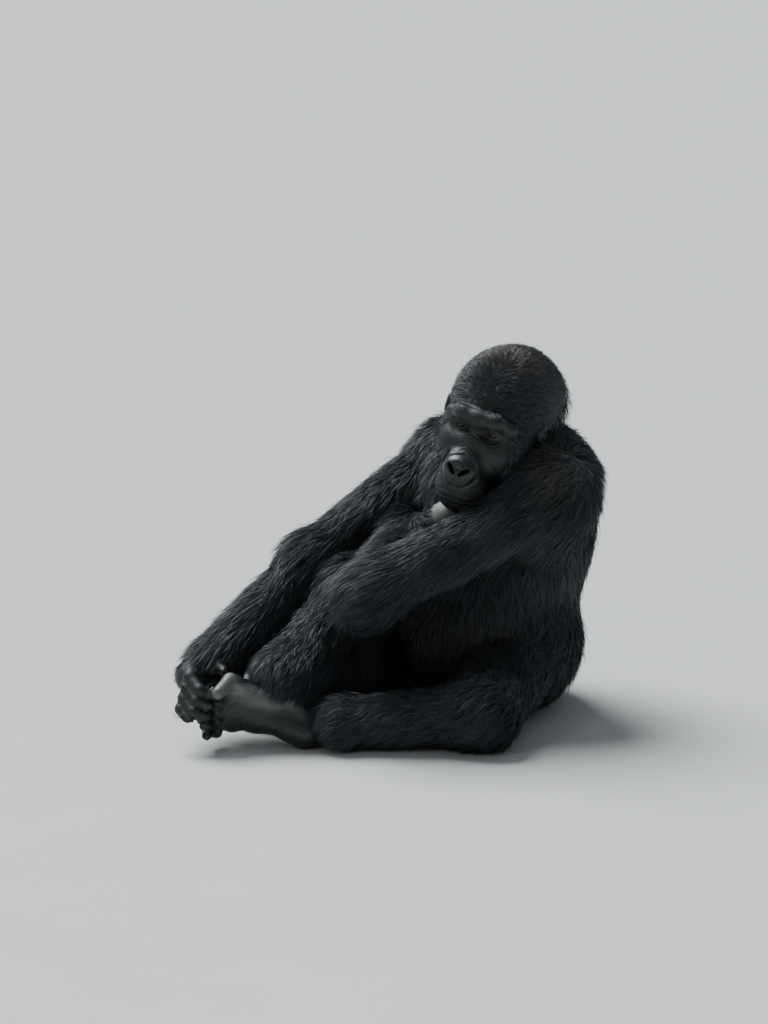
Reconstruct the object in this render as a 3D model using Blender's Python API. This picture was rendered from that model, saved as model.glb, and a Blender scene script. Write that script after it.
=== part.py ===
"""Adult male mountain gorilla, seated with one hand on its foot, as a still life-size model.

Metres, +Z up, the floor at Z = 0.  Facing the front of the model (looking along +Y) the animal's
left side is on the right.  The body is a set of rounded rods and eggs, blended into smooth fields,
one for each chain of the body: trunk, neck with head, two arms and two legs.  Every named node is
the skin of a chain's field, out to the tips of the coat, cut flat at its joints, and cleared of
the nodes made before it.
"""
import math

import bmesh
import bpy
import numpy as np
from mathutils import Vector

# ---------------------------------------------------------------- driving dimensions
CENTRE = np.array((-0.0158, -0.0778, 0.0))  # middle of the footprint in the skeleton's coordinates
GAP = 0.0003                             # clear space between neighbours
PRESS = 0.0005                           # how far a cutter stands proud of the node it copies
ROOT_BLEND = 0.08                        # fillet reach where a limb grows from the trunk
BLEND_RUN = 0.10                         # length over which that fillet fades along the limb
ROOT_REACH = 0.15                        # how far from a root plane's middle the trunk follows a limb
CLEARANCE = 0.008                        # room between parts that only touch
ROOT_ROOM = 0.001                        # room between the trunk and the flat end of a limb
END_SLACK = 0.010                        # how far a hand or foot may spread into the limb it ends
FLOOR = 0.0

TRUNK_FACING = (-0.77, -0.64, 0.0)       # where the chest points
HEAD_CENTRE = (0.201, -0.072, 0.674)     # between the ears
HEAD_YAW = 22                            # degrees the face turns to the animal's right
HEAD_PITCH = 5                           # degrees the face looks down
HEAD_ROLL = 15.5                         # degrees the crown leans to the animal's left
EYE_SPACING = 0.077
EYE_HEIGHT = 0.008                         # above the middle of the head
EYE_RADIUS = 0.0135

JOINT = {
    "shoulder_right": (0.118, 0.215, 0.540),
    "elbow_right": (-0.200, -0.050, 0.357),
    "wrist_right": (-0.405, -0.260, 0.177),
    "knuckles_right": (-0.458, -0.325, 0.152),
    "shoulder_left": (0.325, -0.120, 0.512),
    "elbow_left": (-0.055, -0.300, 0.340),
    "wrist_left": (0.025, -0.040, 0.405),
    "knuckles_left": (0.102, -0.075, 0.458),
    "hip_right": (0.150, 0.105, 0.140),
    "knee_right": (-0.105, -0.105, 0.282),
    "ankle_right": (-0.252, -0.300, 0.142),
    "hip_left": (0.270, -0.055, 0.140),
    "knee_left": (0.180, -0.365, 0.082),
    "ankle_left": (-0.125, -0.360, 0.055),
}
JOINT = {name: np.array(place) for name, place in JOINT.items()}

NECK_BASE = (0.264, 0.048, 0.555)

COAT = (0.012, 0.014, 0.017)
BARE = (0.020, 0.021, 0.022)
EYE = (0.030, 0.014, 0.008)


# ---------------------------------------------------------------- frames of reference
def unit(v):
    v = np.asarray(v, float)
    return v / np.linalg.norm(v)


def axes_from(forward, up=(0, 0, 1)):
    """Rows: left, forward, up of a piece that points forward."""
    forward = unit(forward)
    left = unit(np.cross(up, forward))
    return np.stack([left, forward, np.cross(forward, left)])


def head_axes():
    yaw, pitch, roll = np.radians((HEAD_YAW, HEAD_PITCH, HEAD_ROLL))
    level = np.array((-math.sin(yaw), -math.cos(yaw), 0.0))
    forward = level * math.cos(pitch) - np.array((0, 0, math.sin(pitch)))
    left, _, up = axes_from(forward)
    crown = math.cos(roll) * up + math.sin(roll) * left
    return np.stack([np.cross(crown, forward), forward, crown])


TRUNK_AXES = axes_from(TRUNK_FACING)
HEAD_AXES = head_axes()


def in_head(left, forward, up):
    """A point given by its distances from the middle of the head."""
    return np.array(HEAD_CENTRE) + np.array((left, forward, up)) @ HEAD_AXES


# ---------------------------------------------------------------- fields
def rod(start, end, radius_start, radius_end):
    """Distance to a round rod that tapers from start to end."""
    start = np.asarray(start, float)
    run = np.asarray(end, float) - start

    def distance(p):
        along = np.clip((p - start) @ run / (run @ run), 0, 1)
        off = np.linalg.norm(p - start - along[:, None] * run, axis=1)
        return off - (radius_start + (radius_end - radius_start) * along)
    return distance


def egg(centre, radii, axes):
    """Distance to an ellipsoid with the given half sizes along the rows of axes."""
    centre = np.asarray(centre, float)
    radii = np.asarray(radii, float)

    def distance(p):
        q = (p - centre) @ axes.T / radii
        reach = np.linalg.norm(q, axis=1)
        slope = np.linalg.norm(q / radii, axis=1)
        return reach * (reach - 1) / np.maximum(slope, 1e-9)
    return distance


def soft_min(a, b, reach):
    overlap = np.maximum(reach - np.abs(a - b), 0) / reach
    return np.minimum(a, b) - overlap * overlap * reach / 4


def soft_cut(body, hollow, reach):
    """The body with a hollow pressed into it."""
    return lambda p: -soft_min(-body(p), hollow(p), reach)


def blended(shapes, reach):
    """One field from several shapes, with fillets between them."""
    def distance(p):
        result = shapes[0](p)
        for shape in shapes[1:]:
            result = soft_min(result, shape(p), reach)
        return result
    return distance


def plane(point, normal):
    """Distance in front of a plane."""
    point = np.asarray(point, float)
    normal = unit(normal)
    return lambda p: (p - point) @ normal


def digit(joints, radii):
    """A finger or toe: rods from joint to joint."""
    rods = []
    for i in range(len(joints) - 1):
        rods.append(rod(joints[i], joints[i + 1], radii[i], radii[i + 1]))
    return blended(rods, 0.006)


# ---------------------------------------------------------------- the parts of the body
def trunk_field():
    return blended([
        egg((0.240, 0.070, 0.430), (0.245, 0.180, 0.200), TRUNK_AXES),
        egg((0.262, 0.075, 0.535), (0.235, 0.145, 0.115), TRUNK_AXES),
        egg((0.195, 0.030, 0.290), (0.222, 0.205, 0.225), TRUNK_AXES),
        egg((0.140, -0.015, 0.195), (0.190, 0.190, 0.180), TRUNK_AXES),
        egg((0.215, 0.050, 0.130), (0.200, 0.185, 0.150), TRUNK_AXES),
    ], 0.12)


def neck_field():
    return blended([
        rod(NECK_BASE, in_head(0, -0.062, -0.028), 0.125, 0.108),
        rod((0.200, -0.010, 0.520), in_head(0, 0.0, -0.070), 0.100, 0.085),
    ], 0.06)


def head_field():
    shapes = [
        egg(in_head(0, -0.092, 0.036), (0.127, 0.170, 0.115), HEAD_AXES),
        rod(in_head(0, -0.045, 0.080), in_head(0, -0.155, 0.052), 0.088, 0.088),
        egg(in_head(0, 0.035, -0.042), (0.106, 0.090, 0.090), HEAD_AXES),
        rod(in_head(0, 0.060, -0.030), in_head(0, 0.118, -0.092), 0.044, 0.041),
        egg(in_head(0, 0.098, -0.124), (0.060, 0.060, 0.052), HEAD_AXES),
        egg(in_head(0, 0.076, -0.152), (0.054, 0.058, 0.045), HEAD_AXES),
        egg(in_head(0, 0.136, -0.076), (0.035, 0.022, 0.026), HEAD_AXES),
    ]
    for side in (-1, 1):
        shapes.append(rod(in_head(side * 0.062, 0.078, 0.034), in_head(0, 0.103, 0.038), 0.020, 0.022))
    head = blended(shapes, 0.028)
    for side in (-1, 1):
        socket = egg(in_head(side * EYE_SPACING / 2, 0.104, EYE_HEIGHT), (0.024, 0.020, 0.013), HEAD_AXES)
        head = soft_cut(head, socket, 0.012)
    return head


def eye_centre(side):
    """An eyeball sits in its socket with a little under half of it in front of the skin."""
    head = head_field()
    reach = np.linspace(0.20, 0.0, 401)
    line = np.array([in_head(side * EYE_SPACING / 2, y, EYE_HEIGHT) for y in reach])
    surface = reach[np.argmax(head(line) < 0)]
    return in_head(side * EYE_SPACING / 2, surface - 0.30 * EYE_RADIUS, EYE_HEIGHT)


def ear_field(side):
    return egg(in_head(side * 0.112, -0.040, -0.006), (0.013, 0.021, 0.031), HEAD_AXES)


def arm_field(side, upper, elbow, wrist):
    """Shoulder to wrist, with the tuft of long hair behind the elbow."""
    shoulder = JOINT["shoulder_" + side]
    elbow_at = JOINT["elbow_" + side]
    wrist_at = JOINT["wrist_" + side]
    return blended([
        rod(shoulder, elbow_at, upper, elbow),
        rod(elbow_at, wrist_at, elbow, wrist),
    ], 0.05)


def hand_field(side, fingers, thumb, palm=0.040):
    """Palm from the wrist to the knuckles, four fingers side by side, and the thumb."""
    wrist_at = JOINT["wrist_" + side]
    knuckles = JOINT["knuckles_" + side]
    shapes = [rod(wrist_at, knuckles, palm + 0.006, palm)]
    across = unit(fingers["across"])
    for i in range(4):
        shift = across * (i - 1.5) * 0.023
        joints = [knuckles + shift]
        for step in fingers["steps"]:
            joints.append(joints[-1] + np.array(step))
        shapes.append(digit(joints, (0.018, 0.0165, 0.015, 0.0125)))
    joints = [wrist_at + (knuckles - wrist_at) * 0.4]
    for step in thumb:
        joints.append(joints[-1] + np.array(step))
    shapes.append(digit(joints, (0.020, 0.015, 0.012)))
    return blended(shapes, 0.012)


def leg_field(side, hip, knee, ankle, under=None):
    """Hip to ankle, with the calf and the back of the thigh hanging to a point under a raised knee."""
    hip_at = JOINT["hip_" + side]
    knee_at = JOINT["knee_" + side]
    ankle_at = JOINT["ankle_" + side]
    shapes = [rod(hip_at, knee_at, hip, knee), rod(knee_at, ankle_at, knee * 0.95, ankle)]
    if under is not None:
        shapes.append(rod(knee_at, under, knee * 0.85, knee * 0.90))
        shapes.append(rod(under, hip_at, knee * 0.90, hip * 0.90))
        shapes.append(rod(under, ankle_at, knee * 0.72, ankle * 0.95))
    return blended(shapes, 0.06)


def foot_field(ankle, heel, forward, dorsal, curl):
    """A grasping foot: ankle, heel, arch, ball, four toes and the big toe set apart from them."""
    forward = unit(forward)
    medial = unit(np.cross(dorsal, forward))
    dorsal = np.cross(forward, medial)
    if medial[2] < 0:
        medial = -medial

    def at(f, m, d):
        return np.asarray(heel, float) + forward * f + medial * m + dorsal * d
    shapes = [
        rod(ankle, at(0.020, 0.005, 0.010), 0.050, 0.042),
        rod(ankle, at(0.085, 0.020, 0.006), 0.050, 0.036),
        rod(at(0, 0, 0), at(0.075, 0.012, 0.004), 0.043, 0.040),
        egg(at(0.115, 0.018, 0.002), (0.080, 0.056, 0.034), np.stack([forward, medial, dorsal])),
        egg(at(0.160, 0.010, 0.0), (0.045, 0.060, 0.028), np.stack([forward, medial, dorsal])),
    ]
    for i in range(4):
        root = at(0.185, 0.012 - 0.023 * i, 0)
        middle = at(0.215 - 0.004 * i, 0.014 - 0.023 * i, -0.35 * curl)
        tip = at(0.222 - 0.006 * i, 0.012 - 0.022 * i, -1.2 * curl)
        shapes.append(digit((root, middle, tip), (0.016, 0.0145, 0.0125)))
    big = (at(0.140, 0.058, 0), at(0.185, 0.070, -0.2 * curl), at(0.205, 0.050, -1.3 * curl))
    shapes.append(digit(big, (0.022, 0.020, 0.016)))
    return blended(shapes, 0.016)


HAND_RIGHT = {"across": (0.25, 0.30, 0.92),
              "steps": ((-0.012, -0.050, -0.022), (0.022, -0.030, -0.022), (0.026, 0.006, -0.012))}
THUMB_RIGHT = ((0.020, -0.034, 0.010), (0.018, -0.028, -0.004))
HAND_LEFT = {"across": (0.12, 0.10, 0.98),
             "steps": ((0.030, 0.014, 0.010), (0.018, 0.030, 0.0), (-0.008, 0.024, -0.006))}
THUMB_LEFT = ((0.010, -0.024, 0.016), (0.020, -0.014, 0.012))

UNDER_KNEE = (-0.062, -0.098, 0.108)
FOOT_RIGHT = {"heel": (-0.212, -0.356, 0.040), "forward": (-1.0, 0.0, 0.27), "dorsal": (0.0, 1.0, 0.10),
              "curl": 0.034}
FOOT_LEFT = {"heel": (-0.165, -0.300, 0.038), "forward": (-0.75, 0.66, 0.02), "dorsal": (-0.16, -0.22, 0.96),
             "curl": 0.010}


# ---------------------------------------------------------------- chains and their roots
def bend_plane(before, joint, after):
    """The plane that halves the angle at a joint; its front is the far side."""
    return joint, unit(unit(after - joint) - unit(before - joint))


def root_plane(start, end, run):
    """A plane across a limb, a little way out from the joint where it starts."""
    direction = unit(np.asarray(end) - np.asarray(start))
    return np.asarray(start) + direction * run, direction


NECK_ROOT = root_plane(NECK_BASE, in_head(0, -0.062, -0.028), 0.020)
HEAD_ROOT = (in_head(0, -0.070, -0.060), np.array((0, 0.515, 0.857)) @ HEAD_AXES)


def limb_planes(side):
    """Cut planes of an arm and a leg, from the trunk outwards."""
    j = {name.split("_")[0]: place for name, place in JOINT.items() if name.endswith(side)}
    arm = [root_plane(j["shoulder"], j["elbow"], 0.045),
           bend_plane(j["shoulder"], j["elbow"], j["wrist"]),
           bend_plane(j["elbow"], j["wrist"], j["knuckles"])]
    foot = FOOT_RIGHT if side == "right" else FOOT_LEFT
    toward = unit(foot["forward"]) + unit(j["ankle"] - j["knee"])
    leg = [root_plane(j["hip"], j["knee"], 0.060),
           bend_plane(j["hip"], j["knee"], j["ankle"]),
           (j["ankle"], unit(toward))]
    return arm, leg


def chains():
    """Each chain's own field, its cut planes, root first, and the field of the piece at its end."""
    arm_right, leg_right = limb_planes("right")
    arm_left, leg_left = limb_planes("left")
    hand_right = hand_field("right", HAND_RIGHT, THUMB_RIGHT)
    hand_left = hand_field("left", HAND_LEFT, THUMB_LEFT, 0.036)
    foot_right = foot_field(JOINT["ankle_right"], **FOOT_RIGHT)
    foot_left = foot_field(JOINT["ankle_left"], **FOOT_LEFT)
    head = head_field()
    limbs = {
        "neck": (neck_field(), head, 0.05, [NECK_ROOT, HEAD_ROOT]),
        "arm_right": (arm_field("right", 0.088, 0.068, 0.053), hand_right, 0.03, arm_right),
        "arm_left": (arm_field("left", 0.098, 0.076, 0.062), hand_left, 0.02, arm_left),
        "leg_right": (leg_field("right", 0.135, 0.090, 0.062, UNDER_KNEE), foot_right, 0.03, leg_right),
        "leg_left": (leg_field("left", 0.130, 0.086, 0.056), foot_left, 0.03, leg_left),
    }
    return {name: (blended([limb, end], reach), planes, end)
            for name, (limb, end, reach, planes) in limbs.items()}


def grown(limb, root):
    """A limb with a fillet into the trunk, which fades beyond its root plane."""
    front = plane(*root)
    trunk = trunk_field()

    def distance(p):
        own = limb(p)
        reach = ROOT_BLEND * np.clip(1 - front(p) / BLEND_RUN, 0.05, 1)
        return np.maximum(soft_min(own, trunk(p), reach), own - reach / 4)
    return distance


def carved(field, others):
    """The field with room left round other chains."""
    def distance(p):
        result = field(p)
        for other in others:
            result = np.maximum(result, CLEARANCE - other(p))
        return result
    return distance


def beyond_root(limb, root):
    """A limb from its root plane outwards, set so that what is carved by it ends flat at the plane."""
    front = plane(*root)
    return lambda p: np.maximum(limb(p), CLEARANCE - ROOT_ROOM - front(p))


def held_to(field, end):
    """The part of a chain that lies close round the piece at its end."""
    return lambda p: np.maximum(field(p), end(p) - END_SLACK)


def rooted_trunk(limbs):
    """The trunk with the fillets that reach it from behind each root plane."""
    trunk = trunk_field()

    def distance(p):
        own = trunk(p)
        result = own
        for limb, planes, _ in limbs.values():
            point, _ = planes[0]
            near = np.linalg.norm(p - point, axis=1) - ROOT_REACH
            beyond = np.maximum(plane(*planes[0])(p), 0) + np.maximum(near, 0)
            result = np.minimum(result, soft_min(own, limb(p), ROOT_BLEND) + beyond)
        return result
    return distance


# ---------------------------------------------------------------- meshing
CORNERS = [(x, y, z) for x in (0, 1) for y in (0, 1) for z in (0, 1)]
EDGES = [(a, b) for a in CORNERS for b in CORNERS if a < b and sum(abs(i - j) for i, j in zip(a, b)) == 1]


def block(values, corner):
    """The values at one corner of every cell."""
    nx, ny, nz = values.shape
    x, y, z = corner
    return values[x:nx - 1 + x, y:ny - 1 + y, z:nz - 1 + z]


def sampled(field, low, high, cell):
    """The field on a grid, with its rim kept outside so that every surface closes."""
    counts = np.ceil((np.asarray(high) - low) / cell).astype(int) + 1
    lines = [low[i] + cell * np.arange(counts[i]) for i in range(3)]
    points = np.stack(np.meshgrid(*lines, indexing="ij"), -1).reshape(-1, 3)
    values = field(points).reshape(counts)
    for axis in range(3):
        for end in (0, -1):
            rim = [slice(None)] * 3
            rim[axis] = end
            values[tuple(rim)] = np.maximum(values[tuple(rim)], cell / 2)
    return values


def softened(values):
    """The grid averaged with its neighbours, which opens out pinched places."""
    for axis in range(3):
        inner = [slice(None)] * 3
        inner[axis] = slice(1, -1)
        mean = (np.roll(values, 1, axis) + 2 * values + np.roll(values, -1, axis)) / 4
        values = values.copy()
        values[tuple(inner)] = mean[tuple(inner)]
    return values


def surface_net(values, low, cell):
    """One point in each cell that the surface crosses, and a quad round each crossed grid edge."""
    total = np.zeros([n - 1 for n in values.shape] + [3])
    hits = np.zeros([n - 1 for n in values.shape])
    for a, b in EDGES:
        va = block(values, a)
        vb = block(values, b)
        crosses = (va < 0) != (vb < 0)
        share = np.where(crosses, va / np.where(crosses, va - vb, 1), 0)
        place = np.array(a) + share[..., None] * (np.array(b) - np.array(a))
        total += np.where(crosses[..., None], place, 0)
        hits += crosses
    active = hits > 0
    number = np.full(active.shape, -1)
    number[active] = np.arange(active.sum())
    verts = low + cell * (np.argwhere(active) + total[active] / hits[active][:, None])
    inside = values < 0
    step = np.eye(3, dtype=int)
    faces = []
    for axis in range(3):
        u, v = step[(axis + 1) % 3], step[(axis + 2) % 3]
        start = [slice(1, -1)] * 3
        start[axis] = slice(0, -1)
        end = list(start)
        end[axis] = slice(1, None)
        here = inside[tuple(start)]
        there = inside[tuple(end)]
        origin = 1 - step[axis]
        for leaves in (True, False):
            found = np.argwhere((here != there) & (here == leaves)) + origin
            ring = [number[tuple(c.T)] for c in (found - u - v, found - v, found, found - u)]
            faces.append(np.stack(ring if leaves else ring[::-1], 1))
    return verts, np.concatenate(faces)


def pinched(faces):
    """Whether any edge of the net belongs to more than two quads."""
    ends = np.concatenate([faces[:, [i, (i + 1) % 4]] for i in range(4)])
    _, uses = np.unique(np.sort(ends, 1), axis=0, return_counts=True)
    return (uses != 2).any()


def largest_body(mesh):
    """Drops any loose chip, keeping the body with the most faces."""
    bm = bmesh.new()
    bm.from_mesh(mesh)
    left = set(bm.faces)
    bodies = []
    while left:
        seed = [left.pop()]
        body = set(seed)
        while seed:
            for edge in seed.pop().edges:
                for face in edge.link_faces:
                    if face in left:
                        left.discard(face)
                        body.add(face)
                        seed.append(face)
        bodies.append(body)
    bodies.sort(key=len)
    chips = [face for body in bodies[:-1] for face in body]
    bmesh.ops.delete(bm, geom=chips, context="FACES")
    bmesh.ops.triangulate(bm, faces=bm.faces[:])
    bm.to_mesh(mesh)
    bm.free()


def evaluated(obj):
    """The object's mesh with its modifiers applied."""
    depsgraph = bpy.context.evaluated_depsgraph_get()
    return bpy.data.meshes.new_from_object(obj.evaluated_get(depsgraph))


def add_object(name, mesh):
    obj = bpy.data.objects.new(name, mesh)
    bpy.context.collection.objects.link(obj)
    return obj


def thinned(mesh, triangles):
    """The mesh collapsed to about a number of triangles."""
    obj = add_object("draft", mesh)
    modifier = obj.modifiers.new("Thin", "DECIMATE")
    modifier.ratio = min(1.0, triangles / (2 * len(mesh.polygons)))
    modifier.use_collapse_triangulate = True
    result = evaluated(obj)
    bpy.data.objects.remove(obj)
    return result


def cut_flat(mesh, point, normal):
    """Removes what lies in front of a plane and closes the cut."""
    bm = bmesh.new()
    bm.from_mesh(mesh)
    geometry = bm.verts[:] + bm.edges[:] + bm.faces[:]
    bmesh.ops.bisect_plane(bm, geom=geometry, dist=1e-6, plane_co=Vector(point),
                           plane_no=Vector(normal), clear_outer=True)
    rim = [edge for edge in bm.edges if edge.is_boundary]
    if rim:
        bmesh.ops.holes_fill(bm, edges=rim, sides=0)
    bmesh.ops.triangulate(bm, faces=bm.faces[:])
    bm.to_mesh(mesh)
    bm.free()


def proud_copy(obj):
    """A cutter: the object's shape, grown by PRESS."""
    mesh = obj.data.copy()
    places = [v.co + v.normal * PRESS for v in obj.data.vertices]
    for vertex, place in zip(mesh.vertices, places):
        vertex.co = place
    cutter = add_object("cutter_" + obj.name, mesh)
    cutter.hide_render = True
    cutter.display_type = "WIRE"
    return cutter


def neighbours(a, b):
    """Whether two places, each a chain and a stretch of it, meet at a flat cut."""
    return a[0] == b[0] and abs(a[1] - b[1]) == 1


def boxes_meet(a, b):
    """Whether the boxes round two meshes come together."""
    pa = np.array([v.co for v in a.vertices])
    pb = np.array([v.co for v in b.vertices])
    apart = (pa.min(0) > pb.max(0) + PRESS) | (pb.min(0) > pa.max(0) + PRESS)
    return not apart.any()


# ---------------------------------------------------------------- nodes
# name: (chain, stretch of the chain, points it runs between, margin round them, cell, triangles, colour)
HEAD_POINTS = (in_head(0, 0.06, -0.08), in_head(0, -0.06, 0.08))
FLESH = {
    "head": ("neck", 1, HEAD_POINTS, 0.150, 0.0070, 1060, COAT),
    "neck": ("neck", 0, (NECK_BASE, HEAD_CENTRE), 0.150, 0.0120, 360, COAT),
    "hand_right": ("arm_right", 2, ("wrist_right", "knuckles_right"), 0.120, 0.0045, 640, BARE),
    "forearm_right": ("arm_right", 1, ("elbow_right", "wrist_right"), 0.085, 0.0100, 380, COAT),
    "upper_arm_right": ("arm_right", 0, ("shoulder_right", "elbow_right"), 0.130, 0.0100, 380, COAT),
    "hand_left": ("arm_left", 2, ("wrist_left", "knuckles_left"), 0.130, 0.0045, 740, BARE),
    "forearm_left": ("arm_left", 1, ("elbow_left", "wrist_left"), 0.095, 0.0100, 380, COAT),
    "upper_arm_left": ("arm_left", 0, ("shoulder_left", "elbow_left"), 0.130, 0.0100, 380, COAT),
    "foot_right": ("leg_right", 2, ((-0.18, -0.36, 0.08), (-0.44, -0.36, 0.10)), 0.090, 0.0050, 700, BARE),
    "shin_right": ("leg_right", 1, ("knee_right", "ankle_right"), 0.110, 0.0100, 380, COAT),
    "thigh_right": ("leg_right", 0, ("hip_right", "knee_right"), 0.150, 0.0110, 420, COAT),
    "foot_left": ("leg_left", 2, ((-0.13, -0.31, 0.05), (-0.33, -0.15, 0.05)), 0.090, 0.0050, 580, BARE),
    "shin_left": ("leg_left", 1, ("knee_left", "ankle_left"), 0.110, 0.0100, 380, COAT),
    "thigh_left": ("leg_left", 0, ("hip_left", "knee_left"), 0.150, 0.0110, 420, COAT),
}
ORDER = ("neck", "arm_right", "arm_left", "leg_right", "leg_left")
TRUNK_BOX = ((-0.10, -0.26, -0.02), (0.52, 0.34, 0.68))
TRUNK_CELL = 0.014
TRUNK_TRIANGLES = 720
EAR_TRIANGLES = 160
EAR_CELL = 0.004


def material(name, colour, roughness):
    result = bpy.data.materials.new(name)
    result.use_nodes = True
    shader = result.node_tree.nodes["Principled BSDF"]
    shader.inputs["Base Color"].default_value = (*colour, 1.0)
    shader.inputs["Roughness"].default_value = roughness
    return result


def finished(name, mesh, colour, roughness=0.7):
    obj = add_object(name, mesh)
    mesh.materials.clear()
    mesh.materials.append(material(name, colour, roughness))
    mesh.shade_smooth()
    return obj


def mesh_of(field, low, high, cell, triangles):
    low = np.asarray(low, float)
    values = sampled(field, low, high, cell)
    verts, faces = surface_net(values, low, cell)
    while pinched(faces):
        values = softened(values)
        verts, faces = surface_net(values, low, cell)
    mesh = bpy.data.meshes.new("net")
    mesh.from_pydata(verts.tolist(), [], faces.tolist())
    return thinned(mesh, triangles)


def box_round(points, margin):
    places = np.array([JOINT[p] if isinstance(p, str) else p for p in points], float)
    return places.min(0) - margin, places.max(0) + margin


def cleared(mesh, cutters):
    """The mesh with room made for each cutter that reaches it."""
    obj = add_object("clearing", mesh)
    for cutter in cutters:
        if boxes_meet(obj.data, cutter.data):
            modifier = obj.modifiers.new("Clear", "BOOLEAN")
            modifier.operation = "DIFFERENCE"
            modifier.solver = "EXACT"
            modifier.object = cutter
    result = evaluated(obj)
    bpy.data.objects.remove(obj)
    largest_body(result)
    return result


def eyeball(side):
    mesh = bpy.data.meshes.new("ball")
    bm = bmesh.new()
    bmesh.ops.create_uvsphere(bm, u_segments=12, v_segments=7, radius=EYE_RADIUS)
    bmesh.ops.translate(bm, verts=bm.verts, vec=Vector(eye_centre(side)))
    bmesh.ops.triangulate(bm, faces=bm.faces[:])
    bm.to_mesh(mesh)
    bm.free()
    return mesh


def clear_scene():
    for obj in list(bpy.data.objects):
        bpy.data.objects.remove(obj)


def main():
    clear_scene()
    limbs = chains()
    made = []

    def keep(name, place, mesh, colour, roughness=0.7):
        """Clears the mesh of the nodes made so far, but for the next ones in its chain, and names it."""
        cutters = [cutter for other, cutter in made if not neighbours(place, other)]
        obj = finished(name, cleared(mesh, cutters), colour, roughness)
        made.append((place, proud_copy(obj)))

    for name, side in (("eye_left", 1), ("eye_right", -1)):
        keep(name, (name, 0), eyeball(side), EYE, 0.15)
    for name, (chain, stretch, points, margin, cell, triangles, colour) in FLESH.items():
        limb, planes, end = limbs[chain]
        low, high = box_round(points, margin)
        field = grown(limb, planes[0])
        if stretch + 1 == len(planes):
            field = held_to(field, end)
        field = carved(field, [limbs[other][0] for other in ORDER[:ORDER.index(chain)]])
        mesh = mesh_of(field, low, high, cell, triangles)
        point, normal = planes[stretch]
        cut_flat(mesh, point + normal * GAP / 2, -normal)
        if stretch + 1 < len(planes):
            point, normal = planes[stretch + 1]
            cut_flat(mesh, point - normal * GAP / 2, normal)
        cut_flat(mesh, (0, 0, FLOOR), (0, 0, -1))
        largest_body(mesh)
        keep(name, (chain, stretch), mesh, colour)
    for name, side in (("ear_left", 1), ("ear_right", -1)):
        middle = in_head(side * 0.112, -0.040, -0.006)
        ear = mesh_of(ear_field(side), middle - 0.045, middle + 0.045, EAR_CELL, EAR_TRIANGLES)
        keep(name, (name, 0), ear, BARE)
    outer = [beyond_root(limb, planes[0]) for limb, planes, _ in limbs.values()]
    trunk = mesh_of(carved(rooted_trunk(limbs), outer), *TRUNK_BOX, TRUNK_CELL, TRUNK_TRIANGLES)
    cut_flat(trunk, (0, 0, FLOOR), (0, 0, -1))
    keep("trunk", ("trunk", 0), trunk, COAT)
    for obj in bpy.data.objects:
        for vertex in obj.data.vertices:
            vertex.co -= Vector(CENTRE)


main()
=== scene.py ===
"""Looks of a seated adult gorilla: one skin from head to toe, eyes, nails and a coat of solid tufts.

Metres, +Z up.  The body is the same set of rounded rods and eggs as the solids, in the skeleton's own
coordinates, with each radius less the depth of the coat there.  The skin is a net over that field,
refined towards the face, hands and feet, and its vertices are then slid onto the exact surface.  Every
tuft of the coat grows from a random root on the skin, along the lie of the hair at that place.
"""
import math

import bmesh
import bpy
import numpy as np
from mathutils import Matrix, Vector


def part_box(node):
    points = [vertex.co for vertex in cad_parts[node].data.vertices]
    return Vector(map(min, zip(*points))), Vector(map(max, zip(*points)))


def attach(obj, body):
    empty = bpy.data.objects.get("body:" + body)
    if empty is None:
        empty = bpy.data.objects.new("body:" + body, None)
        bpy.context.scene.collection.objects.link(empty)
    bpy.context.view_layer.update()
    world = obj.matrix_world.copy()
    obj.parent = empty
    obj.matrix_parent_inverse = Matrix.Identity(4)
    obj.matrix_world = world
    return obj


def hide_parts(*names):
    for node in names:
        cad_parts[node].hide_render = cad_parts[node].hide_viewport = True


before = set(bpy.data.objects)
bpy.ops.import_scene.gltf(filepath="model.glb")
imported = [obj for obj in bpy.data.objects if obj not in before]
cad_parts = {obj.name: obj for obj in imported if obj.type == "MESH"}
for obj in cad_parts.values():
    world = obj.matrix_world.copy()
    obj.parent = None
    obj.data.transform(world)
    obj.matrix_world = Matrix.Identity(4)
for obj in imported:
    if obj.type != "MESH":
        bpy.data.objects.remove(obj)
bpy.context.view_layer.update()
COAT_SHARE = 1.0     # a thin coat while trying things out

# -------- the body's dimensions, as in the solids
CENTRE = np.array((-0.0158, -0.0778, 0.0))   # middle of the footprint in the skeleton's coordinates
ROOT_BLEND = 0.08                            # fillet reach where a limb grows from the trunk
BLEND_RUN = 0.10                             # length over which that fillet fades along the limb
FLOOR = 0.0015                               # the skin's flats stay just above the solids' flats

TRUNK_FACING = (-0.77, -0.64, 0.0)           # where the chest points
HEAD_CENTRE = (0.201, -0.072, 0.674)         # between the ears
HEAD_YAW = 22                                # degrees the face turns to the animal's right
HEAD_PITCH = 5                               # degrees the face looks down
HEAD_ROLL = 15.5                             # degrees the crown leans to the animal's left
EYE_SPACING = 0.077
EYE_HEIGHT = 0.008                           # above the middle of the head
EYE_RADIUS = 0.0135

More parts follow.
